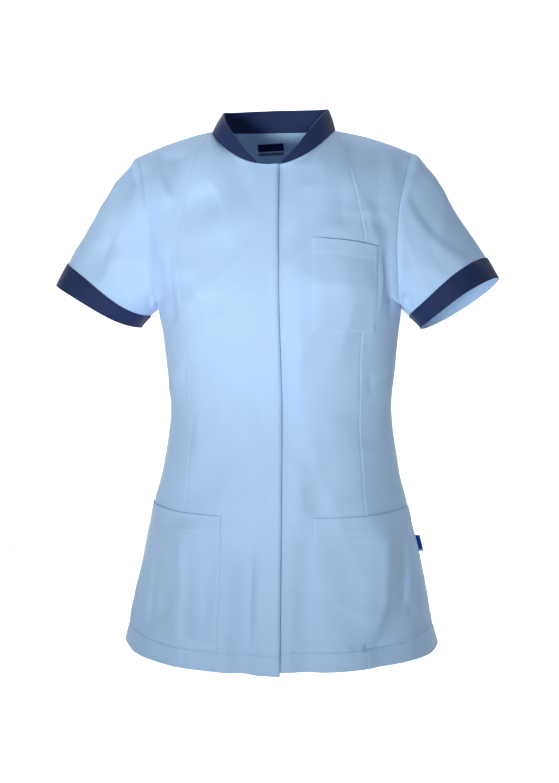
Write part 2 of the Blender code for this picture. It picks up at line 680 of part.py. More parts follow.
def front_panels(jacket):
    line, points, normals, mitre = jacket.line, jacket.front, jacket.front_n, jacket.front_mitre
    made = []
    part = slice(line["seam_right"], line["fly"] + 1)
    outer, inner = cloth(points[:, part], normals[:, part], mitre[:, part], ("left", "top"))
    made.append(wall_object("front_right", outer, inner, "cloth"))
    part = slice(line["underlap"], line["seam_left"] + 1)
    outer, inner = cloth(points[:, part], normals[:, part], mitre[:, part], ("right", "top"))
    sunk = (jacket.sink()[:, part])[..., None] * normals[:, part]
    x = points[:, part, 0]
    height = np.repeat(jacket.front_v[:, None], x.shape[1], 1)
    sunk[..., 2] -= hem_lift(np.clip(x, -90.0, 160.0), height, -90.0) - hem_lift(x, height)
    made.append(wall_object("front_left", outer - sunk, inner - sunk, "cloth"))
    part = slice(0, line["seam_right"] + 1)
    sides = ("left", "right", "top")
    outer, inner = cloth(points[:, part], normals[:, part], mitre[:, part], sides, armholes=("left",))
    made.append(wall_object("side_front_right", outer, inner, "cloth"))
    part = slice(line["seam_left"], line["armhole_left"] + 1)
    outer, inner = cloth(points[:, part], normals[:, part], mitre[:, part], sides, armholes=("right",))
    made.append(wall_object("side_front_left", outer, inner, "cloth"))
    return made


def back_panel(jacket):
    sides = ("left", "right", "top")
    outer, inner = cloth(jacket.back, jacket.back_n, jacket.back_mitre, sides, armholes=("left", "right"))
    jacket.back_inner = inner
    return [wall_object("back", outer, inner, "cloth")]


def sleeve_panels(jacket):
    made = []
    for side, name in ((-1, "right"), (1, "left")):
        grid, normals, mitre = jacket.sleeves[side]
        shift = ring_shift(grid, normals)
        outer = grid.copy()
        inner = grid - normals * (WALL * mitre)[..., None]
        outer[0] += shift
        inner[0] += shift
        made.append(wall_object("sleeve_" + name, outer, inner, "cloth", ring=True))
        band = slice(SLEEVE_ROWS - CUFF_ROWS, SLEEVE_ROWS + 1)
        low = grid[band] + normals[band] * GAP
        high = grid[band] + normals[band] * (GAP + WALL)
        made.append(wall_object("cuff_" + name, high, low, "navy", ring=True))
    return made


def ring_shift(grid, normals):
    """Moves the armhole edge of a sleeve into the sleeve by half the gap, square to the common normals."""
    line = grid[0]
    tangent = unit(np.roll(line, -1, axis=0) - np.roll(line, 1, axis=0))
    d = unit(np.cross(normals[0], tangent))
    d *= np.sign(np.sum(d * (grid[1] - grid[0]), axis=1, keepdims=True))
    return d * (GAP * ARMHOLE_SHARE)


def collar_panel(jacket):
    grid, normals, mitre = jacket.collar
    outer, inner = cloth(grid, normals, mitre, ("bottom",), COLLAR_WALL, COLLAR_PROUD)
    return [wall_object("collar", outer, inner, "navy")]


def pocket(jacket, name, rows, columns, seam_side=None, raised=0.0):
    """A patch pocket made from the panels' own points, moved out, with a little fullness in its middle."""
    points = jacket.front[rows, columns].copy()
    normals = jacket.front_n[rows, columns].copy()
    points[0] += raised * (points[1] - points[0])
    normals[0] = unit(normals[0] + raised * (normals[1] - normals[0]))
    i = np.linspace(0.0, 1.0, points.shape[0])[:, None]
    j = np.linspace(0.0, 1.0, points.shape[1])[None, :]
    full = POCKET_FULLNESS * np.sin(np.pi * np.clip(i * 0.62, 0.0, 1.0)) * np.sin(np.pi * j)
    out = (GAP + full)[..., None] * normals
    outer = points + out + normals * WALL
    inner = points + out
    if seam_side:
        d = edge_shift(points, normals, seam_side, 0.8)
        edge = 0 if seam_side == "left" else -1
        outer[:, edge] += d
        inner[:, edge] += d
    return wall_object(name, outer, inner, "cloth")


def pockets(jacket):
    at, line = jacket.front_at, jacket.line
    chest = slice(at["underbust"], at["chest"] + 1)
    hip = slice(at["hem_fold"], at["hip_pocket"] + 1)
    return [
        pocket(jacket, "chest_pocket", chest, slice(line["pocket_left"], line["chest_pocket_out"] + 1)),
        pocket(jacket, "hip_pocket_right", hip, slice(0, line["hip_pocket_right"] + 1), "left"),
        pocket(
            jacket,
            "hip_pocket_left",
            hip,
            slice(line["pocket_left"], line["armhole_left"] + 1),
            "right",
            HIP_POCKET_LEFT_RISE,
        ),
    ]


def on_facets(grid, a_lines, v_lines, a, v):
    """A point and normal on the flat triangles of a grid whose rows share their columns."""
    order = np.argsort(a_lines)
    fj = float(np.interp(a, a_lines[order], np.arange(len(a_lines))[order]))
    fi = float(np.interp(v, v_lines, np.arange(len(v_lines))))
    i, j = min(int(fi), grid.shape[0] - 2), min(int(fj), grid.shape[1] - 2)
    s, t = fj - j, fi - i
    p00, p01, p11, p10 = grid[i, j], grid[i, j + 1], grid[i + 1, j + 1], grid[i + 1, j]
    if s >= t:
        point = p00 + s * (p01 - p00) + t * (p11 - p01)
        normal = np.cross(p01 - p00, p11 - p00)
    else:
        point = p00 + t * (p10 - p00) + s * (p11 - p10)
        normal = np.cross(p11 - p00, p10 - p00)
    return point, unit(normal)


def back_place(x, z):
    """Column and height of a place on the back near the neck."""
    v_fine = np.linspace(600.0, BACK_TOP_V, 93)
    a = x / 150.0
    for _ in range(6):
        column = body(np.full(93, a), v_fine, True)
        v = float(np.interp(z, column[:, 2], v_fine))
        fine = np.linspace(-0.5, 0.5, 101)
        row = body(fine, np.full(101, v), True)
        a = float(np.interp(x, row[:, 0], fine))
    return a, v


def inside_label(jacket, name, box, colour, thick):
    """A flat label on the inside of the back, its corners resting on the cloth's own triangles."""
    x0, x1, z0, z1 = box
    near, far = [], []
    for z in np.linspace(z0, z1, 3):
        for x in np.linspace(x1, x0, 5):
            a, v = back_place(x, z)
            point, normal = on_facets(jacket.back_inner, jacket.back_a[0], jacket.back_v, a, v)
            near.append(point - normal * GAP)
            far.append(point - normal * (GAP + thick))
    near = np.array(near).reshape(3, 5, 3)
    far = np.array(far).reshape(3, 5, 3)
    return wall_object(name, near, far, colour)


def side_label(jacket):
    """A folded tab that stands out of the left side seam."""
    v = np.interp(SIDE_TAB_Z, jacket.front[:, -1, 2], jacket.front_v)
    grid = []
    for one_v in np.linspace(v[0], v[1], 4):
        fi = float(np.interp(one_v, jacket.front_v, np.arange(len(jacket.front_v))))
        i = int(fi)
        seam = jacket.front[i, -1] + (fi - i) * (jacket.front[i + 1, -1] - jacket.front[i, -1])
        grid.append([seam + (out, 0.3 + 0.05 * out, 0.0) for out in (0.45, 0.5 * SIDE_TAB_OUT, SIDE_TAB_OUT)])
    grid = np.array(grid)
    half = np.array([0.12, 0.5, 0.0]) * SIDE_TAB_WALL
    return wall_object("side_label", grid - half, grid + half, "tab")


def press_studs(jacket):
    """Small flat discs between the two laps of the placket."""
    made = []
    j = jacket.line["underlap"] + 1
    lap = jacket.front[:, j - 1 : j + 2] - jacket.front_n[:, j - 1 : j + 2] * WALL
    for number, z in enumerate(STUD_Z, start=1):
        fi = float(np.interp(z, lap[:, 1, 2], np.arange(len(jacket.front_v))))
        i = int(fi)
        t = fi - i
        corners = lap[i, 0], lap[i, 2], lap[i + 1, 0], lap[i + 1, 2]
        across = unit((corners[1] - corners[0]) + (corners[3] - corners[2]))
        rise = unit((corners[2] - corners[0]) + (corners[3] - corners[1]))
        normal = unit(np.cross(across, rise))
        rise = np.cross(normal, across)
        middle = lap[i, 1] * (1 - t) + lap[i + 1, 1] * t - normal * (LAP_SPACE / 2)
        ring = np.linspace(0.0, 2.0 * math.pi, 20, endpoint=False)
        circle = np.cos(ring)[:, None] * across + np.sin(ring)[:, None] * rise
        half = STUD_THICK / 2
        layers = [(0.0, half), (STUD_RADIUS - 0.4, half), (STUD_RADIUS, half - 0.4)]
        layers += [(STUD_RADIUS, 0.4 - half), (STUD_RADIUS - 0.4, -half), (0.0, -half)]
        points = [middle + normal * layers[0][1]]
        for radius, height in layers[1:-1]:
            points.extend(middle + circle * radius + normal * height)
        points.append(middle + normal * layers[-1][1])
        tris = [(0, 1 + k, 1 + (k + 1) % 20) for k in range(20)]
        for ring_index in range(3):
            a, b = 1 + 20 * ring_index, 21 + 20 * ring_index
            for k in range(20):
                n = (k + 1) % 20
                tris += [(a + k, b + k, b + n), (a + k, b + n, a + n)]
        tris += [(61 + (k + 1) % 20, 61 + k, 81) for k in range(20)]
        made.append(make_mesh(f"press_stud_{number}", lean(np.array(points)), tris, "metal"))
    return made


def build():
    for old in list(bpy.data.objects):
        bpy.data.objects.remove(old, do_unlink=True)
    group = bpy.data.collections.new("medical_jacket")
    bpy.context.scene.collection.children.link(group)
    jacket = Jacket()
    made = front_panels(jacket) + back_panel(jacket) + sleeve_panels(jacket)
    made += collar_panel(jacket) + pockets(jacket)
    made.append(inside_label(jacket, "neck_label", NECK_LABEL, "label", LABEL_WALL))
    made.append(inside_label(jacket, "size_label", SIZE_LABEL, "strip", LABEL_WALL))
    made.append(side_label(jacket))
    made += press_studs(jacket)
    for obj in made:
        group.objects.link(obj)


build()
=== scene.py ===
"""Looks of the short-sleeved medical jacket: thin cloth shells on the forms of its solids.

Front faces -Y, the wearer's left is +X and +Z is up. The origin lies between the shoulders' neck points.
Sizes are millimetres where no heading says metres, and everything is built in metres.
"""

import math

import bpy
import numpy as np
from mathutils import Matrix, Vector


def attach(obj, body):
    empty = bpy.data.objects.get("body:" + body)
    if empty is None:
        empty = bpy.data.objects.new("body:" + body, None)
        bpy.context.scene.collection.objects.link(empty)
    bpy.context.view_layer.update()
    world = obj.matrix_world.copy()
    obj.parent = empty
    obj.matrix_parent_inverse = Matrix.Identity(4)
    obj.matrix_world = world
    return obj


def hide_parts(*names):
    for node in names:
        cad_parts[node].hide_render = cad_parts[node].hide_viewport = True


MM = 0.001

# Cloth and clearances
SHELL = 0.8
COLLAR_WALL = 2.0
COLLAR_PROUD = 0.3
LAP_STEP = 3.7
SEAM_GAP = 0.06
LABEL_WALL = 0.5
LABEL_GAP = 0.25

# Grid spacing of the fine shells, and how far extra grid lines lie from a seam and from the fly's edge
STEP = 3.2
NEAR = (0.8, 2.2)
FLY_LINES = (3.6, 2.4, 1.5, 0.8, 0.3)

# Placket: the fly's and underlap's edges, the fly's rolled edge, and how the left front sinks under it
FLY_X = 12.0
UNDERLAP_X = -17.0
FLY_RIM = 2.6
FLY_NOSE = 6.0
FLY_DROP = 3.0
SINK_FROM_X = 38.0
SINK_FULL_X = 16.0
FLY_RIM_X = 6.5
FLY_RIM_OVER = 5.0
FLY_LIFT_X = 16.0
UNDER_LIFT_X = (-90.0, 160.0)

# Neckline and shoulder. Columns run from 0 at the centre to 1 at the side, and the princess seam and the
# neck point lie at the shares named with _A
NECK_HALF = 78.7
NECK_FRONT = 70.0
NECK_DROP = 39.5
NECK_ROUND_Y = 0.95
NECK_ROUND_Z = 2.2
NECK_BACK = 36.0
NECK_BACK_DROP = 2.4
SHOULDER_TIP = (175.0, 2.0, -29.5)
SHOULDER_BOW = 0.52
SEAM_A = 0.58
NECK_POINT_A = 0.66
CENTRE_A = 0.12
TURNED_REACH = 0.6

# How columns meet the neckline: rise in degrees and speed at the centre, speed gained towards the shoulder
TOP_FRONT = (70.0, 0.42, 0.58)
TOP_BACK = (52.0, 0.85, 0.15)

# Step and limit of the columns at which distances along a row are measured
PROBE = 0.004
PROBE_WITHIN = 0.99

# Sections of the front and back, as in the solids
COLUMNS = ("v", "z_c", "y_c", "z_m", "x_s", "y_s", "z_s", "turn", "k_c", "k_s", "x_seam")
FRONT = (
    ("hem", 0, -680, -136, -676.5, 206.5, -3, -664.5, 90, 0.60, 0.54, 122),
    ("hem_fold", 26, -654, -134, -651, 199.5, -3, -640, 90, 0.59, 0.57, 121),
    ("low_hip", 80, -597, -131, -596, 189.5, -3, -590, 90, 0.56, 0.56, 119),
    ("hip", 135, -541, -127, -541, 178.5, -4, -535, 90, 0.56, 0.56, 117),
    ("hip_pocket", 192, -480, -121, -481, 165.0, -6, -481, 90, 0.56, 0.56, 114.5),
    ("high_hip", 240, -432, -116, -431, 153.5, -8, -430, 90, 0.56, 0.56, 111),
    ("waist", 322, -348, -108, -348, 143.9, -8, -348, 90, 0.56, 0.56, 107.5),
    ("midriff", 372, -297, -113, -298, 149.0, -4, -300, 90, 0.57, 0.56, 108.5),
    ("underbust", 415, -244.5, -119, -250, 153.2, 0, -262, 90, 0.60, 0.54, 113),
    ("underarm", 452, -207, -120, -213, 157.5, 0, -227, 90, 0.62, 0.52, 115),
    ("arm_low", 480, -182, -117, -191, 157.0, -30, -216, 66, 0.60, 0.48, 117),
    ("chest", 545, -129, -104, -141, 156.5, -54, -153, 44, 0.50, 0.40, 118),
    ("arm_high", 595, -92, -92, -85, 160.5, -48, -98, 34, 0.42, 0.36, 110),
    ("yoke", 632, -62, -80, -36, 168.0, -28, -57, 22, 0.33, 0.33, 97),
)
FRONT_TOP_V = 685.0
BACK = (
    ("hem", 0, -676, 128, -673, 206.5, -3, -664.5, 90, 0.56, 0.56, 118),
    ("hem_fold", 26, -650, 127, -648, 199.5, -3, -640, 90, 0.56, 0.56, 116),
    ("low_hip", 80, -596, 124, -595, 189.5, -3, -590, 90, 0.56, 0.56, 110),
    ("hip", 135, -540, 119, -540, 178.5, -4, -535, 90, 0.57, 0.56, 104),
    ("hip_pocket", 192, -482, 110, -482, 165.0, -6, -481, 90, 0.57, 0.56, 97),
    ("high_hip", 240, -431, 99, -431, 153.5, -8, -430, 90, 0.56, 0.56, 90),
    ("waist", 322, -348, 86, -348, 143.9, -8, -348, 90, 0.56, 0.56, 85),
    ("midriff", 372, -298, 88, -298, 149.0, -4, -300, 90, 0.56, 0.56, 88),
    ("underbust", 415, -250, 94, -254, 153.2, 0, -262, 90, 0.58, 0.54, 91),
    ("underarm", 452, -215, 98, -220, 157.5, 0, -227, 90, 0.60, 0.52, 94),
    ("arm_low", 480, -195, 100, -200, 157.0, 30, -216, 66, 0.60, 0.48, 94),
    ("chest", 548, -150, 101, -148, 157.5, 54, -152, 44, 0.55, 0.40, 94),
    ("arm_high", 605, -92, 90, -84, 162.0, 50, -98, 34, 0.45, 0.36, 92),
    ("yoke", 650, -42, 66, -22, 169.0, 28, -55, 22, 0.35, 0.33, 88),
)
BACK_TOP_V = 692.0
UNDERARM_V = 452.0

# Heights of the hem's stitch line and of the pockets' edges, with the extra grid rows beside them
HEM_V = 26.0
HIP_TOP_V = 192.0
POCKET_HEM = 22.0
LEFT_POCKET_V = 35.0
CHEST_LOW_V = 415.0
CHEST_TOP_V = 545.0
LOW_ROWS = (
    1.2, 23.6, 25.1, 26.9, 28.4, 35.0, 35.9, 37.4,
    168.4, 169.4, 170.0, 170.6, 171.6, 189.6, 191.1, 415.9, 417.4,
)
HIGH_ROWS = (542.6, 544.1)

# Heights and spans over which the columns come to follow the chest pocket's outer edge and leave it
POCKET_LINE_V = (322.0, 90.0, 550.0, 80.0)

# Large soft folds of the skirt, as in the solids: side, x where the fold starts and at the hem, width, depth,
# and the heights z where it starts and where it is full
FOLDS = (
    ("front_trough_right", -1, -34, -40, 17, 4.5, -455, -590),
    ("front_trough_left", -1, 38, 43, 15, 4.0, -455, -580),
    ("front_ridge_right", -1, -100, -122, 20, -3.0, -470, -610),
    ("pocket_fold_left", -1, 150, 138, 16, 3.5, -480, -580),
    ("back_trough_right", 1, -70, -96, 24, 5.0, -420, -600),
    ("back_trough_middle", 1, -8, -18, 22, 3.5, -440, -600),
    ("back_trough_left", 1, 62, 80, 24, 4.5, -430, -610),
    ("back_ridge_left", 1, 118, 142, 18, -3.0, -450, -620),
)

# Depth at which the folds end, and how far their movement is turned to the front and back
HEM_DEPTH = 680.0
FOLD_FACING = 1.6

# Bust: its place, its radius and its rise
BUST_X = 88.0
BUST_Z = -192.0
BUST_R = 48.0
BUST_RISE = 7.0

# Lean of the worn form: its shift to the left below the neck, and the roll of the shoulders by height
LEAN_X = 9.5
LEAN_DEPTH = 450.0
LEAN_ABOVE = -0.2
ROLL = 0.013
ROLL_FROM_Z = -150.0
ROLL_TO_Z = -430.0

# Sleeves and their bands
CUFF_COLUMNS = ("x", "z", "width", "slope", "tilt", "outer", "inner", "sag")
CUFFS = {
    -1: (235.0, -224.2, 61.1, 27.0, 3.5, 30.0, 19.0, 4.0),
    1: (233.1, -220.8, 59.9, 33.0, 13.0, 26.0, 22.0, 2.5),
}

# Sleeve ends: place and half depth, the bands, and where the cloth sags under the arm
CUFF_Y = -4.0
CUFF_HALF_DEPTH = 49.0
CUFF_WALL = 1.0
CUFF_OUT = 1.25
CUFF_CUT = 0.98
SAG_AT = 0.33
SAG_WIDTH = 0.7

# Rings of the sleeves, and how their lines spread
SLEEVE_RINGS = 40
CUFF_RINGS = 10
SLEEVE_PART = 2.0 / 3.0
SLEEVE_EASE = 0.85
SLEEVE_FIRST_RINGS = (0.0, 0.008, 0.022)
SLEEVE_RINGS_FROM = 0.045
SLEEVE_TURN = 0.04
SLEEVE_SPREAD = 0.20

# Directions and speeds of a sleeve's lines at the shoulder tip, at the underarm and between
SLEEVE_OUT = (0.93, 0.62, 0.84)
SLEEVE_DROP = (-0.37, -0.78, -0.50)
SLEEVE_START_SPEED = (62.0, 28.0, 110.0)
SLEEVE_END_SPEED = (205.0, 34.0, 120.0)

# Collar
COLLAR_AT = (0.0, 0.42, 0.62, 0.78, 0.90, 0.97, 1.0)
COLLAR_HEIGHT = (30.0, 29.5, 26.0, 20.0, 12.5, 6.5, 3.2)
COLLAR_LEAN = 17.0
COLLAR_LEAN_RIGHT = 13.0
COLLAR_MIDDLE_Y = -15.0
COLLAR_FRONT_Y = 45.0
COLLAR_OVER = 35.0
COLLAR_BELLY = 0.8
COLLAR_FULL = 20.0
COLLAR_WAVES = 0.25
COLLAR_ROWS = 12
COLLAR_END_X = 16.0

# Pockets: x of their upright edges by height, then fullness, sewn edges, the turned top and the ripple
POCKET_LEFT_X = ((26.0, 57.5), (192.0, 52.8), (415.0, 51.7), (545.0, 54.2))
POCKET_RIGHT_X = ((26.0, -69.0), (192.0, -65.3), (415.0, -60.0))
CHEST_POCKET_OUT_X = ((415.0, 127.2), (545.0, 132.8))
POCKET_FULLNESS = 1.2
POCKET_LIFT = 0.35
POCKET_OUT = 0.45
POCKET_IN = 0.35
POCKET_CLEAR = 0.2
POCKET_SEWN = 2.4
POCKET_GROOVE = 0.35
POCKET_LOW = 0.8
POCKET_TURN = (0.8, 1.2)
POCKET_TURN_EDGE = 1.5
POCKET_RIPPLE = 0.25
RIPPLE_PITCH = 3.1
RIPPLE_DRIFT = 19.0
RIPPLE_REACH = 5.0

# Rise of the left front's hem: its amount and top, and where in x it grows and is held at the side
HEM_LIFT = 3.8
HEM_LIFT_V = 150.0
HEM_LIFT_X = 12.0
HEM_LIFT_OVER = 28.0
HEM_HELD_X = 168.0
HEM_HELD_OVER = 36.0

# Labels, each by its ends in x and then in z, and the side tab
NECK_LABEL = (-27.6, 6.2, -25.9, -16.0)
SIZE_LABEL = (-27.6, 5.5, -31.4, -28.0)
LABEL_ROWS = 7
LABEL_LINES = 15
NAPE_V = 600.0
NAPE_X = 150.0
SIDE_TAB_Z = (-543.0, -521.5)
SIDE_TAB_OUT = 7.0
SIDE_TAB_IN = 0.45
TAB_ROWS = 12
TAB_STRAIGHT = 8
TAB_BEND = 9
TAB_PINCH = 0.45
TAB_PINCH_X = 0.4
TAB_PINCH_OVER = 3.0
TAB_BEHIND = 0.3
TAB_SKEW = 0.05
TAB_DROOP = 0.012
SIDE_TAB_WALL = 0.4
SIDE_TAB_FOLD = 0.42

# Creases, one by one: path, the widths on its two sides, depth, rise and fall. A path holds x and z on
# the front or back, or the turn round a sleeve from the underarm (1 at the shoulder tip, below 1 in front)
# and the share of its length. Depth is inward and a ridge is negative. Rise and fall are the shares of the
# path over which the crease fades in and out.
CREASES = {
    "front": (
        ("shoulder hollow", ((-156, -30), (-140, -30), (-120, -30), (-98, -28)), 14, 42, 2.6, 0.25, 0.4),
        ("shoulder cone", ((-152, -46), (-136, -70), (-122, -92)), 6, 14, -1.6, 0.35, 0.35),
        ("chest hollow", ((-94, -60), (-82, -96), (-70, -130)), 16, 26, 1.3, 0.4, 0.5),
        ("chest line", ((-82, -60), (-69, -81), (-57, -106)), 4, 18, 1.5, 0.35, 0.5),
        ("neck dent", ((-20, -52), (-26, -70), (-32, -96)), 7, 12, 0.5, 0.4, 0.5),
        ("armhole patch", ((-130, -172), (-127, -208), (-127, -246)), 4, 14, 1.1, 0.3, 0.3),
        ("waist pull", ((-138, -276), (-113, -292), (-86, -302)), 5, 9, 1.0, 0.3, 0.5),
        ("waist dart", ((-111, -284), (-115, -300), (-118, -322)), 6, 6, 0.6, 0.4, 0.4),
        ("yoke hollow", ((88, -24), (120, -32), (152, -40)), 16, 46, 1.7, 0.3, 0.3),
        ("yoke edge", ((110, -84), (137, -102), (160, -100)), 8, 10, -0.8, 0.4, 0.3),
        ("yoke pull", ((126, -92), (143, -115), (157, -138)), 9, 12, 0.8, 0.4, 0.3),
        ("arm trough", ((152, -118), (150, -136), (147, -174), (147, -212), (149, -250)),
            9, 12, 1.9, 0.25, 0.35),
        ("pocket shade", ((86, -50), (88, -85), (88, -120)), 10, 26, 0.9, 0.4, 0.3),
        ("pocket ridge", ((140, -146), (138, -163), (137, -189), (133, -217), (130, -252)),
            4, 6, -0.7, 0.3, 0.3),
        ("waist pull left", ((150, -304), (130, -318), (104, -322)), 5, 8, 1.0, 0.2, 0.5),
        ("waist dart left", ((120, -298), (121, -314), (124, -334)), 6, 6, 0.6, 0.4, 0.4),
        ("belly pull", ((98, -392), (70, -436), (42, -488)), 16, 26, 1.2, 0.4, 0.4),
        ("skirt trough", ((-31, -488), (-32, -572), (-34, -690)), 12, 27, 2.1, 0.45, 0.02),
        ("skirt line", ((-26, -496), (-28, -572), (-31, -655)), 4, 9, 1.4, 0.3, 0.2),
        ("skirt trough left", ((46, -470), (47, -544), (46, -690)), 30, 20, 2.1, 0.3, 0.02),
        ("hip fold", ((-152, -520), (-160, -596), (-167, -646)), 9, 6, 1.2, 0.25, 0.15),
        ("pocket fold", ((-112, -486), (-110, -542), (-112, -595), (-115, -650)), 13, 24, -2.8, 0.15, 0.1),
        ("pocket line", ((-110, -500), (-108, -545), (-110, -597), (-113, -645)), 5, 9, -1.2, 0.2, 0.2),
        ("pocket line left", ((139, -496), (134, -539), (134, -589), (129, -616), (114, -638)),
            9, 6, -1.2, 0.2, 0.3),
        ("hip ridge", ((-166, -526), (-177, -597), (-184, -632)), 5, 6, -0.8, 0.3, 0.3),
        ("hip hollow", ((-170, -532), (-182, -601), (-191, -645)), 6, 7, 2.0, 0.3, 0.2),
        ("hip fold left", ((160, -500), (163, -560), (160, -622)), 8, 12, 1.5, 0.3, 0.3),
        ("pocket curve", ((140, -484), (134, -539), (134, -589), (129, -616), (112, -642)),
            22, 38, -3.0, 0.2, 0.25),
        ("hip ridge left", ((170, -556), (168, -582), (167, -602)), 5, 4, -1.5, 0.4, 0.3),
        ("hip dimple", ((172, -598), (171, -616)), 8, 7, 1.3, 0.3, 0.3),
        ("corner fold", ((112, -646), (128, -645), (143, -638)), 4, 5, 1.6, 0.3, 0.3),
        ("pocket hollow", ((-86, -534), (-92, -587), (-97, -636)), 15, 15, 1.4, 0.4, 0.3),
        ("pocket hollow left", ((91, -530), (98, -584), (101, -626)), 17, 17, 0.3, 0.4, 0.3),
        ("pocket edge", ((-81, -498), (-83, -560), (-86, -650)), 9, 12, 0.9, 0.2, 0.2),
    ),
    "right": (
        ("cap crease", ((0.99, 0.12), (0.90, 0.07), (0.80, 0.075)), 3.5, 7, 2.2, 0.3, 0.2),
        ("cap crease low", ((0.93, 0.02), (0.81, 0.083), (0.76, 0.2)), 4, 9, 1.8, 0.3, 0.5),
        ("under crease", ((0.19, 0.02), (0.15, 0.2), (0.09, 0.45)), 8, 8, 1.3, 0.1, 0.5),
        ("sleeve soft", ((0.75, 0.22), (0.66, 0.43), (0.55, 0.66)), 14, 18, 1.8, 0.4, 0.4),
        ("sleeve back pull", ((1.24, 0.05), (1.32, 0.3), (1.2, 0.62)), 9, 8, 2.8, 0.2, 0.4),
        ("sleeve back soft", ((1.62, 0.05), (1.55, 0.4), (1.5, 0.68)), 7, 9, 2.2, 0.2, 0.4),
    ),
    "left": (
        ("cap ridge", ((0.97, 0.06), (0.85, 0.08)), 9, 8, -0.9, 0.3, 0.3),
        ("sleeve pull", ((0.80, 0.03), (0.70, 0.22), (0.69, 0.36), (0.76, 0.57), (0.92, 0.74)),
            24, 9, 1.25, 0.2, 0.25),
        ("sleeve pull low", ((0.63, 0.25), (0.58, 0.48), (0.575, 0.76)), 18, 9, 0.8, 0.4, 0.3),
        ("under crease", ((0.16, 0.02), (0.2, 0.3), (0.25, 0.62)), 8, 12, 2.0, 0.1, 0.5),
        ("band kink", ((0.27, 0.68), (0.267, 0.86)), 4, 4, 1.4, 0.4, 0.4),
        ("sleeve back pull", ((1.22, 0.05), (1.28, 0.32), (1.18, 0.64)), 8, 9, 3.0, 0.2, 0.4),
        ("sleeve back soft", ((1.6, 0.04), (1.52, 0.36), (1.48, 0.7)), 8, 8, 2.0, 0.2, 0.4),
    ),
    "back": (
        ("spine hollow", ((0, -60), (2, -140), (-2, -230), (0, -330)), 22, 22, 3.0, 0.3, 0.3),
        ("blade pull", ((62, -30), (112, -72), (142, -116)), 13, 12, 2.6, 0.3, 0.3),
        ("blade pull right", ((-66, -30), (-113, -76), (-141, -122)), 12, 12, 2.8, 0.3, 0.3),
        ("arm pull", ((143, -146), (112, -198), (86, -262)), 9, 10, 2.6, 0.2, 0.5),
        ("arm pull right", ((-144, -138), (-119, -190), (-94, -246)), 10, 8, 2.3, 0.2, 0.5),
        ("waist crease", ((128, -306), (92, -326), (54, -330)), 5, 7, 2.0, 0.2, 0.5),
        ("waist crease low", ((122, -340), (96, -352), (70, -352)), 5, 6, 1.4, 0.3, 0.5),
        ("waist crease right", ((-130, -298), (-96, -318), (-60, -323)), 6, 6, 2.1, 0.2, 0.5),
        ("waist crease right low", ((-124, -346), (-100, -356), (-82, -354)), 5, 6, 1.3, 0.3, 0.5),
        ("seat ridge", ((22, -430), (26, -520), (20, -650)), 12, 12, -2.2, 0.5, 0.1),
        ("seat ridge right", ((-44, -440), (-52, -530), (-60, -650)), 10, 12, -2.0, 0.5, 0.1),
        ("hip pull", ((150, -440), (112, -480), (84, -540)), 10, 12, 2.0, 0.3, 0.5),
        ("hip pull right", ((-152, -430), (-120, -474), (-100, -530)), 10, 10, 1.8, 0.3, 0.5),
    ),
}

# Gentle unevenness of the cloth: wave vector per millimetre, height and phase
WAVES = (
    ((0.050, 0.013, 0.021), 1.0, 0.4),
    ((-0.021, 0.031, 0.047), 0.8, 1.9),
    ((0.083, -0.024, 0.039), 0.4, 2.7),
    ((-0.118, 0.036, 0.064), 0.15, 0.9),
    ((0.196, -0.051, -0.122), 0.05, 3.4),
)

# Fine breaks of crisp cloth: wave vector, height, phase, and the wave vector of the patches where they show
BREAKS = (
    ((0.071, 0.010, 0.030), 2.10, 0.7, (0.019, 0.008, -0.023)),
    ((0.052, -0.020, -0.061), 1.20, 2.1, (-0.016, 0.011, 0.021)),
    ((0.118, 0.014, 0.022), 1.20, 4.4, (0.024, -0.009, 0.017)),
    ((-0.064, 0.030, 0.121), 0.95, 1.3, (0.021, 0.017, 0.026)),
    ((0.171, -0.025, 0.067), 0.55, 3.6, (-0.027, 0.012, 0.031)),
)

# Strength of the creases, more for broad ones, their reach, and the roundness of the breaks
CREASE_GAIN = 2.1
CREASE_WIDTH = 10.0
CREASE_BROAD = (0.75, 1.6)
CREASE_POWER = 0.8
CREASE_REACH = 2.6
CREASE_SAMPLES = 48
STEEPEST = 0.15
BREAK_BEND = 0.9
BREAK_BEND_RATE = 1.7
BREAK_MEAN = 0.64
BREAK_ROUND = 0.008

# Where creases are held flat: the side seams, the placket, and the neckline and shoulders
SIDE_HOLD = 0.7
SIDE_REACH = 16.0
STUD_X = -3.0
PLACKET_HOLD = 0.85
PLACKET_REACH = 13.0
TOP_FADE = 14.0

# Seams, the fullness of the sleeve heads, and the hem with its stitch line and puckers
SEAM_DEPTH = 0.35
SEAM_RIDGE = 0.35
SEAM_WIDTH = 1.0
RIDGE_AT = 2.2
RIDGE_WIDTH = 1.5
WOBBLE_MEAN = 0.75
WOBBLE = 0.45
WOBBLE_PITCH = 4.7
WOBBLE_DRIFT = 23.0
SIDE_RIDGE = 0.5
SLEEVE_RIDGE = (0.4, 0.4)
SLEEVE_HEAD = 1.3
HEAD_AT = 8.0
HEAD_WIDTH = 6.0
ARMHOLE_EDGE = 0.7
SLEEVE_CREASED_FROM = 10.0
HEM_RAISE = 0.7
HEM_GROOVE = 0.7
GROOVE_WIDTH = 1.0
HEM_EDGE_V = 24.6
HEM_EDGE = 1.4
PUCKER = 0.5
PUCKER_RADIUS = 170.0
PUCKER_PITCH = (2.1, 9.3, 3.4)
PUCKER_REACH = 7.0
PUCKER_OTHER = 0.6

# Fly edge's stand-off by height
FLY_LIFT = (
    (0, 2.8), (60, 2.5), (130, 3.0), (190, 2.3), (260, 1.5), (330, 2.1), (380, 1.8), (470, 1.4), (560, 1.7),
    (640, 2.1), (685, 1.5),
)

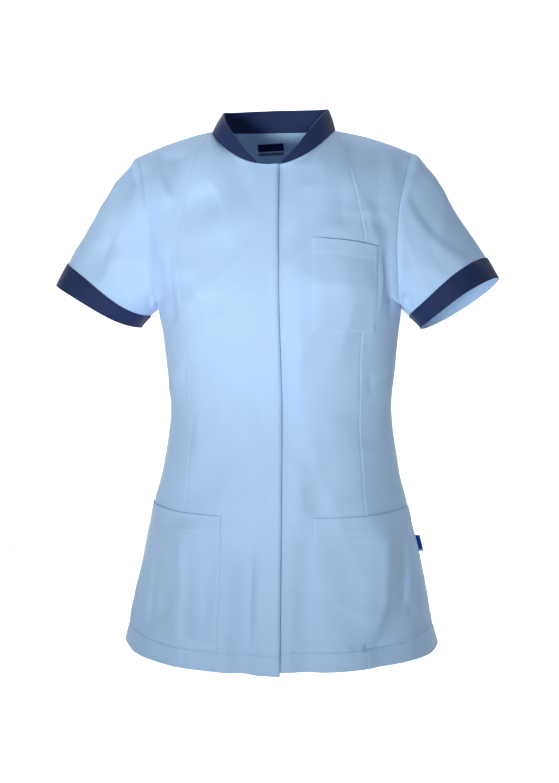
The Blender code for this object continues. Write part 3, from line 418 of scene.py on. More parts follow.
# Stitches
STITCH_LENGTH = 2.5
STITCH_PITCH = 3.1
STITCH_RADIUS = 0.2
STITCH_FLAT = 0.7
STITCH_SUNK = 0.1
STITCH_RAISED = 0.12
STITCH_SIDES = 6
STITCH_SHOULDERS = (0.25, 0.75)
POCKET_STITCH_IN = 1.6
POCKET_STITCH_AT = 0.6

# Colours, linear
PALE = (0.435, 0.63, 0.885)
PALE_DEEP = (0.375, 0.565, 0.83)
NAVY = (0.013, 0.029, 0.112)
NAVY_DEEP = (0.008, 0.020, 0.085)
LABEL_BLUE = (0.002, 0.009, 0.055)
TAB_BLUE = (0.004, 0.055, 0.40)
TAB_EDGE = (0.25, 0.52, 0.85)
STRIP_GREY = (0.09, 0.12, 0.14)
METAL = (0.55, 0.56, 0.58)
THREAD_PALE = (0.52, 0.68, 0.90)
FLOOR = (0.90, 0.905, 0.91)
ROOM_COLOUR = (0.90, 0.965, 1.0)

# Weave of the poplin in millimetres, and the look of its yarns
YARN_PITCH = 0.55
WEAVE_HEIGHT = 0.25
SLUB_HEIGHT = 0.35
SLUB_TONE = 0.22
SLUB_STRETCH = ((2.2, 0.12, 1.0), (0.12, 2.2, 1.0))
CLOTH_ROUGHNESS = 0.78
RIB_TONE = 1.5
RIB_BLACK = 0.004
SHARP_ANGLE = 50.0

# Studio in metres: floor, backdrop, and the room's light at the horizon and above it
FLOOR_Z = -1.35
FLOOR_HALF = 60.0
SWEEP_Y = 3.6
SWEEP_R = 1.6
SWEEP_TOP = 3.0
SWEEP_HALF = 7.0
SWEEP_ABOVE = 0.002
ROOM = 0.39
ROOM_ABOVE = 0.10
ROOM_FADE = 0.8

# Lamps: place and target, width and height in metres, power in watts and spread in degrees
LAMPS = (
    ("key", (-0.22, -1.52, -0.44), (0.0, 0.0, -0.10), 0.45, 0.25, 3.8, 80.0),
    ("side", (-1.0, -1.15, -0.35), (-0.21, -0.03, 0.10), 0.3, 0.3, 0.22, 30.0),
    ("backdrop_high", (0.0, 2.4, 1.9), (0.0, 5.2, -0.3), 3.5, 1.2, 165.0, 180.0),
    ("backdrop_low", (0.0, 1.2, 1.5), (0.0, 2.9, -1.3), 3.5, 1.0, 125.0, 180.0),
)

# Camera, in metres, degrees and millimetres of lens
CAMERA_DISTANCE = 2.6
CAMERA_HEIGHT = 0.028
CAMERA_TURN = 6.0
CAMERA_TILT = 7.97
CAMERA_X = 0.0067
CAMERA_LENS = 92.64
CAMERA_SENSOR = 36.0

# Lower edge of the side tab's pale stripe, in metres
TAB_EDGE_Z = -0.5405
TAB_EDGE_BLUR = 0.0006

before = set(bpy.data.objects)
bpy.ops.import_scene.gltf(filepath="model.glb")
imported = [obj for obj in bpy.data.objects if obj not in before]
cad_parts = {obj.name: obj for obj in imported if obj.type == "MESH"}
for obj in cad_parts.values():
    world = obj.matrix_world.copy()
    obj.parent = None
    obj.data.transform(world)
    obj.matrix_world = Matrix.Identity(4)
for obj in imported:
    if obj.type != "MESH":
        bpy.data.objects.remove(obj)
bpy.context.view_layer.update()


def smooth(t):
    """A soft step from 0 to 1."""
    t = np.clip(t, 0.0, 1.0)
    return t * t * (3.0 - 2.0 * t)


def bell(distance, width):
    """1 at no distance, fading out on both sides over the width."""
    return np.exp(-((distance / width) ** 2))


def unit(p):
    """Directions of the vectors p, each of length 1."""
    length = np.linalg.norm(p, axis=-1, keepdims=True)
    return p / np.maximum(length, 1e-12)


def travelled(points, axis=0):
    """Lengths along lines of points, from the first point of each line."""
    steps = np.linalg.norm(np.diff(points, axis=axis), axis=-1)
    start = np.zeros_like(steps[:1] if axis == 0 else steps[:, :1])
    return np.concatenate([start, np.cumsum(steps, axis=axis)], axis=axis)


def slopes(knots, values):
    """Slopes at the knots that let no curve pass beyond its data."""
    h = np.diff(knots).reshape((-1,) + (1,) * (values.ndim - 1))
    d = np.diff(values, axis=0) / h
    before, after = d[:-1], d[1:]
    w1 = 2.0 * h[1:] + h[:-1]
    w2 = h[1:] + 2.0 * h[:-1]
    same = before * after > 1e-12
    safe_before = np.where(same, before, 1.0)
    safe_after = np.where(same, after, 1.0)
    inner = np.where(same, (w1 + w2) / (w1 / safe_before + w2 / safe_after), 0.0)
    return np.concatenate([d[:1], inner, d[-1:]])


def blend(t, p0, m0, p1, m1):
    """A cubic from p0 to p1 with the end directions m0 and m1."""
    return (
        (2 * t**3 - 3 * t**2 + 1) * p0
        + (t**3 - 2 * t**2 + t) * m0
        + (3 * t**2 - 2 * t**3) * p1
        + (t**3 - t**2) * m1
    )


def hermite(knots, values, m, at):
    """Values between the knots. values and m are (knots, points, ...) and at has one entry for each point."""
    k = np.clip(np.searchsorted(knots, at, side="right") - 1, 0, len(knots) - 2)
    n = np.arange(len(at))
    h = (knots[k + 1] - knots[k])[:, None]
    t = (at - knots[k])[:, None] / h
    return blend(t, values[k, n], m[k, n] * h, values[k + 1, n], m[k + 1, n] * h)


def monotone(knots, values, at):
    """One smooth curve through a short list of values, read at each entry of at."""
    knots, values, at = (np.asarray(given, float) for given in (knots, values, at))
    lines = [np.repeat(one[:, None, None], len(at), axis=1) for one in (values, slopes(knots, values))]
    return hermite(knots, *lines, at)[:, 0]


def through(path, count):
    """A smooth line through a few points."""
    path = np.asarray(path, float)
    knots = travelled(path)
    at = np.linspace(0.0, knots[-1], count)
    return np.stack([monotone(knots, path[:, k], at) for k in range(path.shape[1])], axis=1)


def by_height(pairs, v):
    """Values at heights v from pairs of a height and a value."""
    return np.interp(v, *zip(*pairs))


def section_points(row, a):
    """Points of one section at the columns a, 0 to 1, on the +X side."""
    x_s, y_s, y_c = row["x_s"], row["y_s"], row["y_c"]
    turn = math.radians(row["turn"])
    reach = abs(y_s - y_c) * math.sin(turn) + TURNED_REACH * x_s * math.cos(turn)
    towards = 1.0 if y_s > y_c else -1.0
    p1 = (row["k_c"] * x_s, y_c)
    p2 = (
        x_s - row["k_s"] * reach * math.cos(turn),
        y_s - towards * row["k_s"] * reach * math.sin(turn),
    )

    def arc(t):
        b0, b1 = (1 - t) ** 3, 3 * t * (1 - t) ** 2
        b2, b3 = 3 * t * t * (1 - t), t**3
        x = b1 * p1[0] + b2 * p2[0] + b3 * x_s
        y = b0 * y_c + b1 * p1[1] + b2 * p2[1] + b3 * y_s
        return x, y

    fine = np.linspace(0.0, 1.0, 401)
    t_seam = float(np.interp(row["x_seam"], arc(fine)[0], fine))
    x, y = arc(monotone((0.0, SEAM_A, 1.0), (0.0, t_seam, 1.0), a))
    z = (row["z_c"], row["z_c"], row["z_m"], row["z_s"])
    return np.stack([x, y, monotone((0.0, CENTRE_A, NECK_POINT_A, 1.0), z, a)], axis=1)


def top_points(a, back):
    """The neckline from the centre to the neck point, then the shoulder seam to its tip."""
    psi = np.clip(a / NECK_POINT_A, 0.0, 1.0) * math.pi / 2
    x = NECK_HALF * np.sin(psi)
    if back:
        y = NECK_BACK * np.cos(psi)
        z = -NECK_BACK_DROP * np.cos(psi)
    else:
        y = -NECK_FRONT * np.cos(psi) ** NECK_ROUND_Y
        z = -NECK_DROP * (1.0 - (x / NECK_HALF) ** NECK_ROUND_Z)
    q = np.clip((a - NECK_POINT_A) / (1.0 - NECK_POINT_A), 0.0, 1.0)
    tip_x, tip_y, tip_z = SHOULDER_TIP
    bow = SHOULDER_BOW * q + (1.0 - SHOULDER_BOW) * q * q
    shoulder = np.stack([NECK_HALF + (tip_x - NECK_HALF) * q, tip_y * q, tip_z * bow], axis=1)
    return np.where((a > NECK_POINT_A)[:, None], shoulder, np.stack([x, y, z], axis=1))


def top_direction(a, back):
    """Direction of the columns where they reach the neckline or the shoulder seam."""
    slope, speed, gained = TOP_BACK if back else TOP_FRONT
    towards = -1.0 if back else 1.0
    rise = math.radians(slope) * (1.0 - smooth(a / NECK_POINT_A))
    speed = speed + gained * smooth(a / NECK_POINT_A)
    return np.stack([0.0 * a, towards * speed * np.cos(rise), speed * np.sin(rise)], axis=1)


def folds(points, face):
    """Points moved in or out by the large soft folds of the skirt."""
    x, y, z = points.T
    depth = np.zeros(len(points))
    for _, on, x_top, x_hem, width, deep, z_top, z_full in FOLDS:
        if on == face:
            along = np.clip((z_top - z) / (z_top + HEM_DEPTH), 0.0, 1.0)
            line = x_top + (x_hem - x_top) * along
            depth += deep * smooth((z_top - z) / (z_top - z_full)) * bell(x - line, width)
    away = unit(np.stack([x, y * FOLD_FACING, 0.0 * z], axis=1))
    return points - depth[:, None] * away


def hem_lift(x, v, from_x=HEM_LIFT_X):
    """Rise of the left front's hem, held down again at the side."""
    held = 1.0 - smooth((x - HEM_HELD_X) / HEM_HELD_OVER)
    return HEM_LIFT * smooth((x - from_x) / HEM_LIFT_OVER) * held * (1.0 - smooth(v / HEM_LIFT_V))


def body(a, v, back=False):
    """Points of the jacket's body at columns a (-1 to 1) and heights v, before it leans."""
    shape = np.shape(a)
    v = np.ravel(np.broadcast_to(v, shape)).astype(float)
    a = np.ravel(np.asarray(a, float))
    size = np.abs(a)
    table, top_v = (BACK, BACK_TOP_V) if back else (FRONT, FRONT_TOP_V)
    sections = [dict(zip(COLUMNS, section[1:])) for section in table]
    knots = np.array([row["v"] for row in sections] + [top_v], float)
    rows = np.stack([section_points(row, size) for row in sections] + [top_points(size, back)])
    m = slopes(knots, rows)
    m[-1] = top_direction(size, back)
    points = hermite(knots, rows, m, v)
    if not back:
        spread = ((points[:, 0] - BUST_X) ** 2 + (points[:, 2] - BUST_Z) ** 2) / BUST_R**2
        points[:, 1] -= BUST_RISE * np.exp(-spread)
    points[:, 0] *= np.where(a < 0, -1.0, 1.0)
    points = folds(points, 1 if back else -1)
    points[:, 2] += hem_lift(points[:, 0], v) * (points[:, 1] < 0.0 if back else 1.0)
    return points.reshape(shape + (3,))


def lean(points):
    """The lean of the worn form, which turns the shoulders a little and keeps the hem level."""
    x, y, z = points[..., 0], points[..., 1], points[..., 2]
    down = np.clip(-z / LEAN_DEPTH, LEAN_ABOVE, 1.0)
    roll = ROLL * (1.0 - smooth((ROLL_FROM_Z - z) / (ROLL_FROM_Z - ROLL_TO_Z)))
    return np.stack([x + LEAN_X * np.sin(down * math.pi / 2), y, z + roll * x], axis=-1)


def heights(table, top_v, extra):
    """Heights of the grid rows."""
    knots = [section[1] for section in table] + [top_v]
    v = [top_v]
    for low, high in zip(knots, knots[1:]):
        cells = max(1, round((high - low) / STEP))
        v.extend(low + (high - low) * np.arange(cells) / cells)
    return np.unique(np.round(np.concatenate([v, extra]), 3))


def grid_normals(points, ring=False):
    """Normals of a grid, for columns that run to the right and rows that run up as seen from outside."""
    if ring:
        du = np.roll(points, -1, axis=1) - np.roll(points, 1, axis=1)
    else:
        du = np.gradient(points, axis=1)
    return unit(np.cross(du, np.gradient(points, axis=0)))


class Columns:
    """Grid lines up the front or the back, added from one named edge to the next."""

    def __init__(self, start, v, back=False):
        self.v, self.back = v, back
        self.lines = [start]
        self.at = {}

    def offset(self, column, distance):
        """The column moved by a distance in millimetres, on each row."""
        inner = np.clip(column, -PROBE_WITHIN, PROBE_WITHIN)
        near = body(inner - PROBE, self.v, self.back)
        far = body(inner + PROBE, self.v, self.back)
        return column + distance / (np.linalg.norm(far - near, axis=1) / (2.0 * PROBE))

    def run(self, column, name=None):
        """Evenly spaced lines up to and with column."""
        last = self.lines[-1]
        gap = np.linalg.norm(body(column, self.v, self.back) - body(last, self.v, self.back), axis=1)
        cells = max(1, round(float(gap.max()) / STEP))
        self.lines.extend(last + (column - last) * (k + 1) / cells for k in range(cells))
        if name:
            self.at[name] = len(self.lines) - 1

    def edge(self, name, column, towards, before=(), after=()):
        """A named edge with its near lines. towards is the sign of the columns' direction."""
        for distance in before:
            self.run(self.offset(column, -towards * distance))
        self.run(column, name)
        for distance in after:
            self.run(self.offset(column, towards * distance))

    def grid(self):
        return np.stack(self.lines, axis=1)


def column_of_x(x, v):
    """The column of the front at which each row reaches x."""
    fine = np.linspace(0.0, 0.9, 181)
    reach = body(*np.meshgrid(fine, v))[..., 0]
    x = np.broadcast_to(x, v.shape)
    return np.array([np.sign(one) * np.interp(abs(one), row, fine) for one, row in zip(x, reach)])


def front_columns(v):
    """Columns of the front's grid lines on each row, and the number of each named line."""
    one = np.ones_like(v)
    mirrored = NEAR[::-1]
    low_v, low_over, high_v, high_over = POCKET_LINE_V
    held = smooth((v - low_v) / low_over) * (1.0 - smooth((v - high_v) / high_over))
    shoulder_part = NECK_POINT_A + (1.0 - NECK_POINT_A) / 6.0
    out = shoulder_part * (1.0 - held) + column_of_x(by_height(CHEST_POCKET_OUT_X, v), v) * held
    c = Columns(-one, v)
    c.at["armhole_right"] = 0
    for distance in NEAR:
        c.run(c.offset(-one, distance))
    c.run(-NECK_POINT_A * one, "neck_point_right")
    c.edge("seam_right", -SEAM_A * one, 1, mirrored, NEAR)
    c.edge("hip_pocket_right", column_of_x(by_height(POCKET_RIGHT_X, v), v), 1, mirrored)
    c.run(column_of_x(UNDERLAP_X, v), "underlap")
    c.edge("fly", column_of_x(FLY_X, v), 1, FLY_LINES)
    c.run(column_of_x(COLLAR_END_X, v), "collar_left")
    c.run(column_of_x(SINK_FROM_X, v), "sink_end")
    c.edge("pocket_left", column_of_x(by_height(POCKET_LEFT_X, v), v), 1, (), NEAR)
    c.edge("seam_left", SEAM_A * one, 1, mirrored, NEAR)
    c.run(NECK_POINT_A * one, "neck_point_left")
    c.edge("chest_pocket_out", out, 1, mirrored)
    c.edge("armhole_left", one, 1, mirrored)
    return c.grid(), c.at


def back_columns(v):
    """Columns of the back's grid lines on each row, and the number of each named line."""
    one = np.ones_like(v)
    c = Columns(one, v, True)
    c.at["armhole_left"] = 0
    for distance in NEAR:
        c.run(c.offset(one, -distance))
    c.run(NECK_POINT_A * one, "neck_point_left")
    c.run(-NECK_POINT_A * one, "neck_point_right")
    c.edge("armhole_right", -one, -1, NEAR[::-1])
    return c.grid(), c.at


class Crease:
    """One soft trough or ridge along a path on the cloth."""

    def __init__(self, path, normals, side_a, side_b, depth, rise, fall):
        self.path, self.rise, self.fall = path, rise, fall
        self.tangent = unit(np.gradient(path, axis=0))
        self.side = unit(np.cross(self.tangent, normals))
        self.half = 0.5 * np.linalg.norm(np.diff(path, axis=0), axis=1).mean()
        self.width = side_a, side_b
        self.reach = CREASE_REACH * max(self.width)
        broad = np.clip((side_a + side_b) / (2 * CREASE_WIDTH), *CREASE_BROAD)
        self.deep = CREASE_GAIN * broad**CREASE_POWER * depth

    def depth(self, points):
        """Inward depth of the crease at each point."""
        low, high = self.path.min(0) - self.reach, self.path.max(0) + self.reach
        found = np.where(np.all((points > low) & (points < high), axis=1))[0]
        depth = np.zeros(len(points))
        if not len(found):
            return depth
        p = points[found]
        k = ((p[:, None] - self.path[None]) ** 2).sum(-1).argmin(1)
        away = p - self.path[k]
        along = (away * self.tangent[k]).sum(1)
        last = len(self.path) - 1
        limit = np.where((k == 0) | (k == last), self.half, 4 * self.half)
        slid = np.clip(along, -limit, limit)
        across = away - slid[:, None] * self.tangent[k]
        sign = (across * self.side[k]).sum(1)
        width = np.where(sign < 0, *self.width)
        share = np.clip((k + slid / (2 * self.half)) / last, 0.0, 1.0)
        grown = smooth(share / self.rise) * smooth((1 - share) / self.fall)
        depth[found] = self.deep * grown * np.exp(-((across**2).sum(1)) / width**2)
        return depth


def lift_to(grid, normals, flat):
    """Points of the grid's surface with the given x and z, and their normals."""
    points = grid.reshape(-1, 3)
    k = ((points[None, :, ::2] - flat[:, None]) ** 2).sum(-1).argmin(1)
    p, n = points[k], normals.reshape(-1, 3)[k]
    dx, dz = flat[:, 0] - p[:, 0], flat[:, 1] - p[:, 2]
    slope = np.where(np.abs(n[:, 1]) > STEEPEST, n[:, 1], STEEPEST * np.sign(n[:, 1]))
    y = p[:, 1] - (n[:, 0] * dx + n[:, 2] * dz) / slope
    return np.stack([flat[:, 0], y, flat[:, 1]], axis=1), n


def ring_place(ring, path):
    """Points and normals of a sleeve at turns round it and shares of its length."""
    rows = np.interp(path[:, 1], ring["share"], np.arange(len(ring["share"])))
    turns = np.interp(path[:, 0] * math.pi, ring["turn"], np.arange(len(ring["turn"])))
    i = np.minimum(rows.astype(int), len(ring["share"]) - 2)
    j = np.minimum(turns.astype(int), len(ring["turn"]) - 2)
    s, t = (rows - i)[:, None], (turns - j)[:, None]
    g = ring["grid"]
    points = (g[i, j] * (1 - t) + g[i, j + 1] * t) * (1 - s)
    points += (g[i + 1, j] * (1 - t) + g[i + 1, j + 1] * t) * s
    return points, ring["normals"][i, j]


def waves(points):
    """The cloth's gentle unevenness, and its fine breaks, sharp along their lines."""
    total = np.zeros(len(points))
    for k, height, phase in WAVES:
        total += height * np.sin(points @ np.array(k) + phase)
    for k, height, phase, patch in BREAKS:
        bend = BREAK_BEND * np.sin(points @ np.array(patch) * BREAK_BEND_RATE + 2.0 * phase)
        wave = np.sin(0.5 * (points @ np.array(k)) + phase + bend)
        shown = smooth(0.5 + 0.5 * np.sin(points @ np.array(patch) + 3.0 * phase))
        total += height * shown * (BREAK_MEAN - np.sqrt(wave**2 + BREAK_ROUND))
    return total


def seam_relief(distance, ridge):
    """A seam's valley, and the rise of the seam allowances beside it."""
    valley = SEAM_DEPTH * bell(distance, SEAM_WIDTH)
    return SEAM_RIDGE * ridge * bell(distance - RIDGE_AT, RIDGE_WIDTH) - valley


def hem_relief(points, v):
    """The hem's double cloth, the groove of its stitch line, and the puckers round it."""
    band = HEM_RAISE * (1.0 - smooth((v - HEM_EDGE_V) / HEM_EDGE))
    band = band - HEM_GROOVE * bell(v - HEM_V, GROOVE_WIDTH)
    angle = np.arctan2(points[..., 1], points[..., 0]) * PUCKER_RADIUS
    fine, broad, other = PUCKER_PITCH
    ripple = np.sin(angle / fine) * np.sin(angle / broad + 1.0) + PUCKER_OTHER * np.sin(angle / other + 2.0)
    return band + PUCKER * ripple * bell(v - HEM_V, PUCKER_REACH)


def held_at_sides(grid):
    """The share of the creases that is left near the side seams, which hang taut."""
    across = travelled(grid, 1)
    return 1.0 - SIDE_HOLD * bell(np.minimum(across, across[:, -1:] - across), SIDE_REACH)


def held_at_studs(grid):
    """The share of the creases that is left on the placket, which is stiff with several layers."""
    return 1.0 - PLACKET_HOLD * bell(grid[..., 0] - STUD_X, PLACKET_REACH)


class Jacket:
    """The fine grids that the shells share, in millimetres, before the lean."""

    def __init__(self):
        self.front_v = heights(FRONT, FRONT_TOP_V, LOW_ROWS + HIGH_ROWS)
        self.back_v = heights(BACK, BACK_TOP_V, LOW_ROWS)
        front_a, self.line = front_columns(self.front_v)
        back_a, self.back_line = back_columns(self.back_v)
        self.front = body(front_a, self.front_v[:, None])
        self.back = body(back_a, self.back_v[:, None], True)
        self.under = self.row(UNDERARM_V)
        self.front_n, self.back_n = self.body_normals()
        bare = {side: self.sleeve(side) for side in (-1, 1)}
        self.creases = [self.crease(on, row, bare) for on, rows in CREASES.items() for row in rows]
        self.add_relief()
        self.front_n, self.back_n = self.body_normals()
        self.sleeves = {side: self.sleeve(side) for side in (-1, 1)}
        self.shape_sleeves()
        self.match_armholes()

    def row(self, v, back=False):
        return int(np.abs((self.back_v if back else self.front_v) - v).argmin())

    def edges(self, side):
        """Grid lines of the armhole and side seam on the front and on the back."""
        return (0, -1) if side < 0 else (-1, 0)

    def join_sides(self, front, back, joined):
        """Sets both edges of each side seam to one value, made from their sum."""
        rows = slice(0, self.under + 1)
        for side in (-1, 1):
            f, b = self.edges(side)
            front[rows, f] = back[rows, b] = joined(front[rows, f] + back[rows, b])

    def body_normals(self):
        """Normals of the body, with one common normal along the side seams."""
        front, back = grid_normals(self.front), grid_normals(self.back)
        self.join_sides(front, back, unit)
        return front, back

    def crease(self, on, row, bare):
        """A crease of the tables on the front, the back or a bare sleeve."""
        path = through(row[1], CREASE_SAMPLES)
        if on == "front":
            place = lift_to(self.front, self.front_n, path)
        elif on == "back":
            place = lift_to(self.back, self.back_n, path)
        else:
            place = ring_place(bare[-1 if on == "right" else 1], path)
        return Crease(*place, *row[2:])

    def relief(self, points):
        """Outward movement of each point by the creases and the cloth's unevenness."""
        flat = points.reshape(-1, 3)
        out = waves(flat)
        for crease in self.creases:
            out -= crease.depth(flat)
        return out.reshape(points.shape[:-1])

    def add_relief(self):
        """Moves the body's grids by creases, hem and seams. The edges that two pieces share move alike."""
        front_v, back_v = self.front_v[:, None], self.back_v[:, None]
        creased = self.relief(self.front) * held_at_sides(self.front) * held_at_studs(self.front)
        fade_front = smooth((FRONT_TOP_V - front_v) / TOP_FADE)
        fade_back = smooth((BACK_TOP_V - back_v) / TOP_FADE)
        self.creased = self.front + self.front_n * (creased * fade_front)[..., None]
        out_front = creased + hem_relief(self.front, front_v)
        out_back = self.relief(self.back) * held_at_sides(self.back) + hem_relief(self.back, back_v)
        across = travelled(self.front, 1)
        wobble = np.sin(front_v / WOBBLE_PITCH + 2.0 * np.sin(front_v / WOBBLE_DRIFT))
        wobble = WOBBLE_MEAN + WOBBLE * wobble
        for name, low_side in (("seam_right", -1), ("seam_left", 1)):
            k = self.line[name]
            distance = np.abs(across - across[:, k : k + 1])
            towards_side = np.sign(np.arange(across.shape[1]) - k)[None] == low_side
            out_front += seam_relief(distance, towards_side * wobble)
        for grid, out in ((self.front, out_front), (self.back, out_back)):
            across = travelled(grid, 1)
            for k in (0, -1):
                out += seam_relief(np.abs(across - across[:, k, None]), SIDE_RIDGE)
        self.front = self.front + self.front_n * (out_front * fade_front)[..., None]
        self.back = self.back + self.back_n * (out_back * fade_back)[..., None]
        self.join_sides(self.front, self.back, lambda both: both / 2)

    def sleeve(self, side):
        """Rings of a sleeve from its armhole to its end."""
        f, b = self.edges(side)
        up = self.front[self.under :, f]
        down = self.back[self.row(UNDERARM_V, True) :, b][::-1]
        start = np.concatenate([up, down[1:-1]])
        up_share, down_share = (along / along[-1] for along in (travelled(up), travelled(down)))
        turn = np.concatenate([up_share, 1.0 + down_share[1:-1]]) * math.pi
        c, s = -np.cos(turn), np.sin(turn)
        cuff = dict(zip(CUFF_COLUMNS, CUFFS[side]))
        slope, tilt = math.radians(cuff["slope"]), math.radians(cuff["tilt"])
        e1 = np.array([side * math.cos(slope), 0.0, math.sin(slope)])
        down_axis = np.array([side * math.sin(slope), 0.0, -math.cos(slope)])
        axis = math.cos(tilt) * down_axis + np.array([0.0, -math.sin(tilt), 0.0])
        e2 = np.array([0.0, -math.cos(tilt), 0.0]) - math.sin(tilt) * down_axis
        centre = np.array([side * cuff["x"], CUFF_Y, cuff["z"]])
        end = centre + c[:, None] * e1 * cuff["width"] + s[:, None] * e2 * CUFF_HALF_DEPTH
        end += (cuff["sag"] * bell(turn - SAG_AT * math.pi, SAG_WIDTH))[:, None] * axis
        tip, low = ((1 + c) / 2) ** 2, ((1 - c) / 2) ** 2

        def mixed(at_tip, at_low, between):
            return tip * at_tip + low * at_low + (1.0 - tip - low) * between

        at_tip, at_low, between = SLEEVE_DROP
        drop = mixed(at_tip + SLEEVE_TURN * side, at_low, between)
        d0 = np.stack([side * mixed(*SLEEVE_OUT), -SLEEVE_SPREAD * s, drop], axis=1)
        m0 = unit(d0) * mixed(*SLEEVE_START_SPEED)[:, None]
        m1 = axis * mixed(*SLEEVE_END_SPEED)[:, None]
        depth = cuff["inner"] + (cuff["outer"] - cuff["inner"]) * (1 + c) / 2
        cut = 1.0 - depth / np.linalg.norm(end - start, axis=1) * CUFF_CUT
        along = np.concatenate([SLEEVE_FIRST_RINGS, np.linspace(SLEEVE_RINGS_FROM, 1.0, SLEEVE_RINGS)])
        band = 1.0 + np.arange(1, CUFF_RINGS + 1) / CUFF_RINGS
        grid = []
        for place in np.concatenate([along, band]):
            t = cut * place if place <= 1.0 else cut + (1.0 - cut) * (place - 1.0)
            grid.append(blend(t[:, None], start, m0, end, m1))
        grid = np.stack(grid)
        eased = along ** (1.0 / SLEEVE_EASE) * SLEEVE_PART
        shares = np.concatenate([eased, SLEEVE_PART + (band - 1.0) * (1.0 - SLEEVE_PART)])
        normals = grid_normals(grid, ring=True) * -side
        return {"grid": grid, "turn": turn, "share": shares, "normals": normals, "band": len(along) - 1}

    def shape_sleeves(self):
        """Adds the creases, the fullness of the sleeve head and the seam to the sleeves."""
        even, at_head = SLEEVE_RIDGE
        for side, ring in self.sleeves.items():
            grid = ring["grid"]
            away = travelled(grid)
            head = ((1.0 - np.cos(ring["turn"])) / 2)[None]
            out = self.relief(grid) * smooth(away / SLEEVE_CREASED_FROM)
            out += SLEEVE_HEAD * head * bell(away - HEAD_AT, HEAD_WIDTH)
            out += seam_relief(away, even + at_head * head) * smooth(away / ARMHOLE_EDGE)
            ring["grid"] = grid + ring["normals"] * out[..., None]
            ring["normals"] = grid_normals(ring["grid"], ring=True) * -side

    def match_armholes(self):
        """One common normal where a sleeve meets the body."""
        back_under = self.row(UNDERARM_V, True)
        n = len(self.front) - self.under
        for side, ring in self.sleeves.items():
            f, b = self.edges(side)
            panel = np.concatenate([self.front_n[self.under :, f], self.back_n[back_under:, b][::-1][1:-1]])
            common = unit(panel + ring["normals"][0])
            ring["normals"][0] = common
            self.front_n[self.under :, f] = common[:n]
            self.back_n[back_under:, b] = np.concatenate([common[n - 1 :], common[:1]])[::-1]


def cloth(points, normals, wall=SHELL, out=0.0):
    """Outer and inner grids of a shell."""
    return points + normals * out, points + normals * (out - wall)


def draw_back(grids, sides):
    """Draws seam edges into their own panel, so that neighbours stay just apart."""
    for grid in grids:
        for side in sides:
            lines = grid if side in ("bottom", "top") else grid.swapaxes(0, 1)
            edge, inside = (-1, -2) if side in ("right", "top") else (0, 1)
            lines[edge] += unit(lines[inside] - lines[edge]) * SEAM_GAP


def wall_faces(rows, columns, ring):
    """Quads of a closed wall between an outer and an inner grid."""
    count = rows * columns
    last = (rows - 1) * columns
    i = np.arange(rows - 1) * columns
    j = np.arange(columns if ring else columns - 1)
    k = (j + 1) % columns
    a, b = i[:, None] + j, i[:, None] + k
    c, d = b + columns, a + columns

    def quads(*corners):
        return np.stack(corners, -1).reshape(-1, 4)

    faces = [quads(a, b, c, d), quads(a, d, c, b) + count, quads(j, j + count, k + count, k)]
    faces.append(quads(last + j, last + k, last + k + count, last + j + count))
    if not ring:
        e = i + columns - 1
        faces.append(quads(i, i + columns, i + columns + count, i + count))
        faces.append(quads(e, e + count, e + columns + count, e + columns))
    return np.concatenate(faces)


def placed(name, data):
    """An object in the scene for its data."""
    obj = bpy.data.objects.new(name, data)
    bpy.context.scene.collection.objects.link(obj)
    return obj


def new_object(name, points, faces, material):
    """A smoothly shaded mesh object from points in metres."""
    mesh = bpy.data.meshes.new(name)
    mesh.from_pydata(points, [], faces)
    mesh.update()
    mesh.materials.append(material)
    mesh.polygons.foreach_set("use_smooth", [True] * len(mesh.polygons))
    return placed(name, mesh)


def finish_piece(obj, node, bevel):
    """Sharp edges, rounded rims, and what the piece stands for."""
    obj.data.set_sharp_from_angle(angle=math.radians(SHARP_ANGLE))
    if bevel:
        rim = obj.modifiers.new("rim", "BEVEL")
        rim.width = bevel * MM
        rim.segments = 2
        rim.limit_method = "ANGLE"
        rim.angle_limit = math.radians(SHARP_ANGLE)
        rim.harden_normals = False
    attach(obj, "root")
    if node:
        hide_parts(node)


def wall_piece(node, outer, inner, material, ring=False, bevel=0.15):
    """A closed shell for one solid, with the cloth's own millimetres as its texture map."""
    rows, columns = outer.shape[:2]
    points = np.concatenate([outer.reshape(-1, 3), inner.reshape(-1, 3)])
    faces = wall_faces(rows, columns, ring)
    c = points[faces]
    volume = np.einsum("ij,ij->i", c[:, 0], np.cross(c[:, 1], c[:, 2]) + np.cross(c[:, 2], c[:, 3])).sum()
    if volume < 0:
        faces = faces[:, ::-1]
    obj = new_object(node + "_cloth", (lean(points) * MM).tolist(), faces.tolist(), material)
    closed = np.concatenate([outer, outer[:, :1]], axis=1) if ring else outer
    where = np.stack([travelled(closed, 1), travelled(closed)], axis=-1)
    i, j = np.divmod(faces % (rows * columns), columns)
    if ring:
        wraps = (j.max(1) - j.min(1) > columns // 2)[:, None] & (j == 0)
        j = np.where(wraps, columns, j)
    obj.data.uv_layers.new(name="cloth_mm").data.foreach_set("uv", where[i, j].reshape(-1))
    finish_piece(obj, node, bevel)


def panel(name, outer, inner, drawn, material):
    """A shell of pale cloth with its seam edges drawn back."""
    draw_back((outer, inner), drawn)
    wall_piece(name, outer, inner, material)


def feed(tree, node, inputs):
    """Sets inputs to values, or links them to the outputs given."""
    for key, value in inputs.items():
        if isinstance(value, bpy.types.NodeSocket):
            tree.links.new(value, node.inputs[key])
        else:
            node.inputs[key].default_value = value


def add(tree, kind, inputs, **settings):
    """Outputs of a new shader node."""
    node = tree.nodes.new("ShaderNode" + kind)
    for name, value in settings.items():
        setattr(node, name, value)
    feed(tree, node, inputs)
    return node.outputs


def math_node(tree, operation, *inputs):
    """Result of one operation on values or outputs."""
    return add(tree, "Math", dict(enumerate(inputs)), operation=operation)[0]


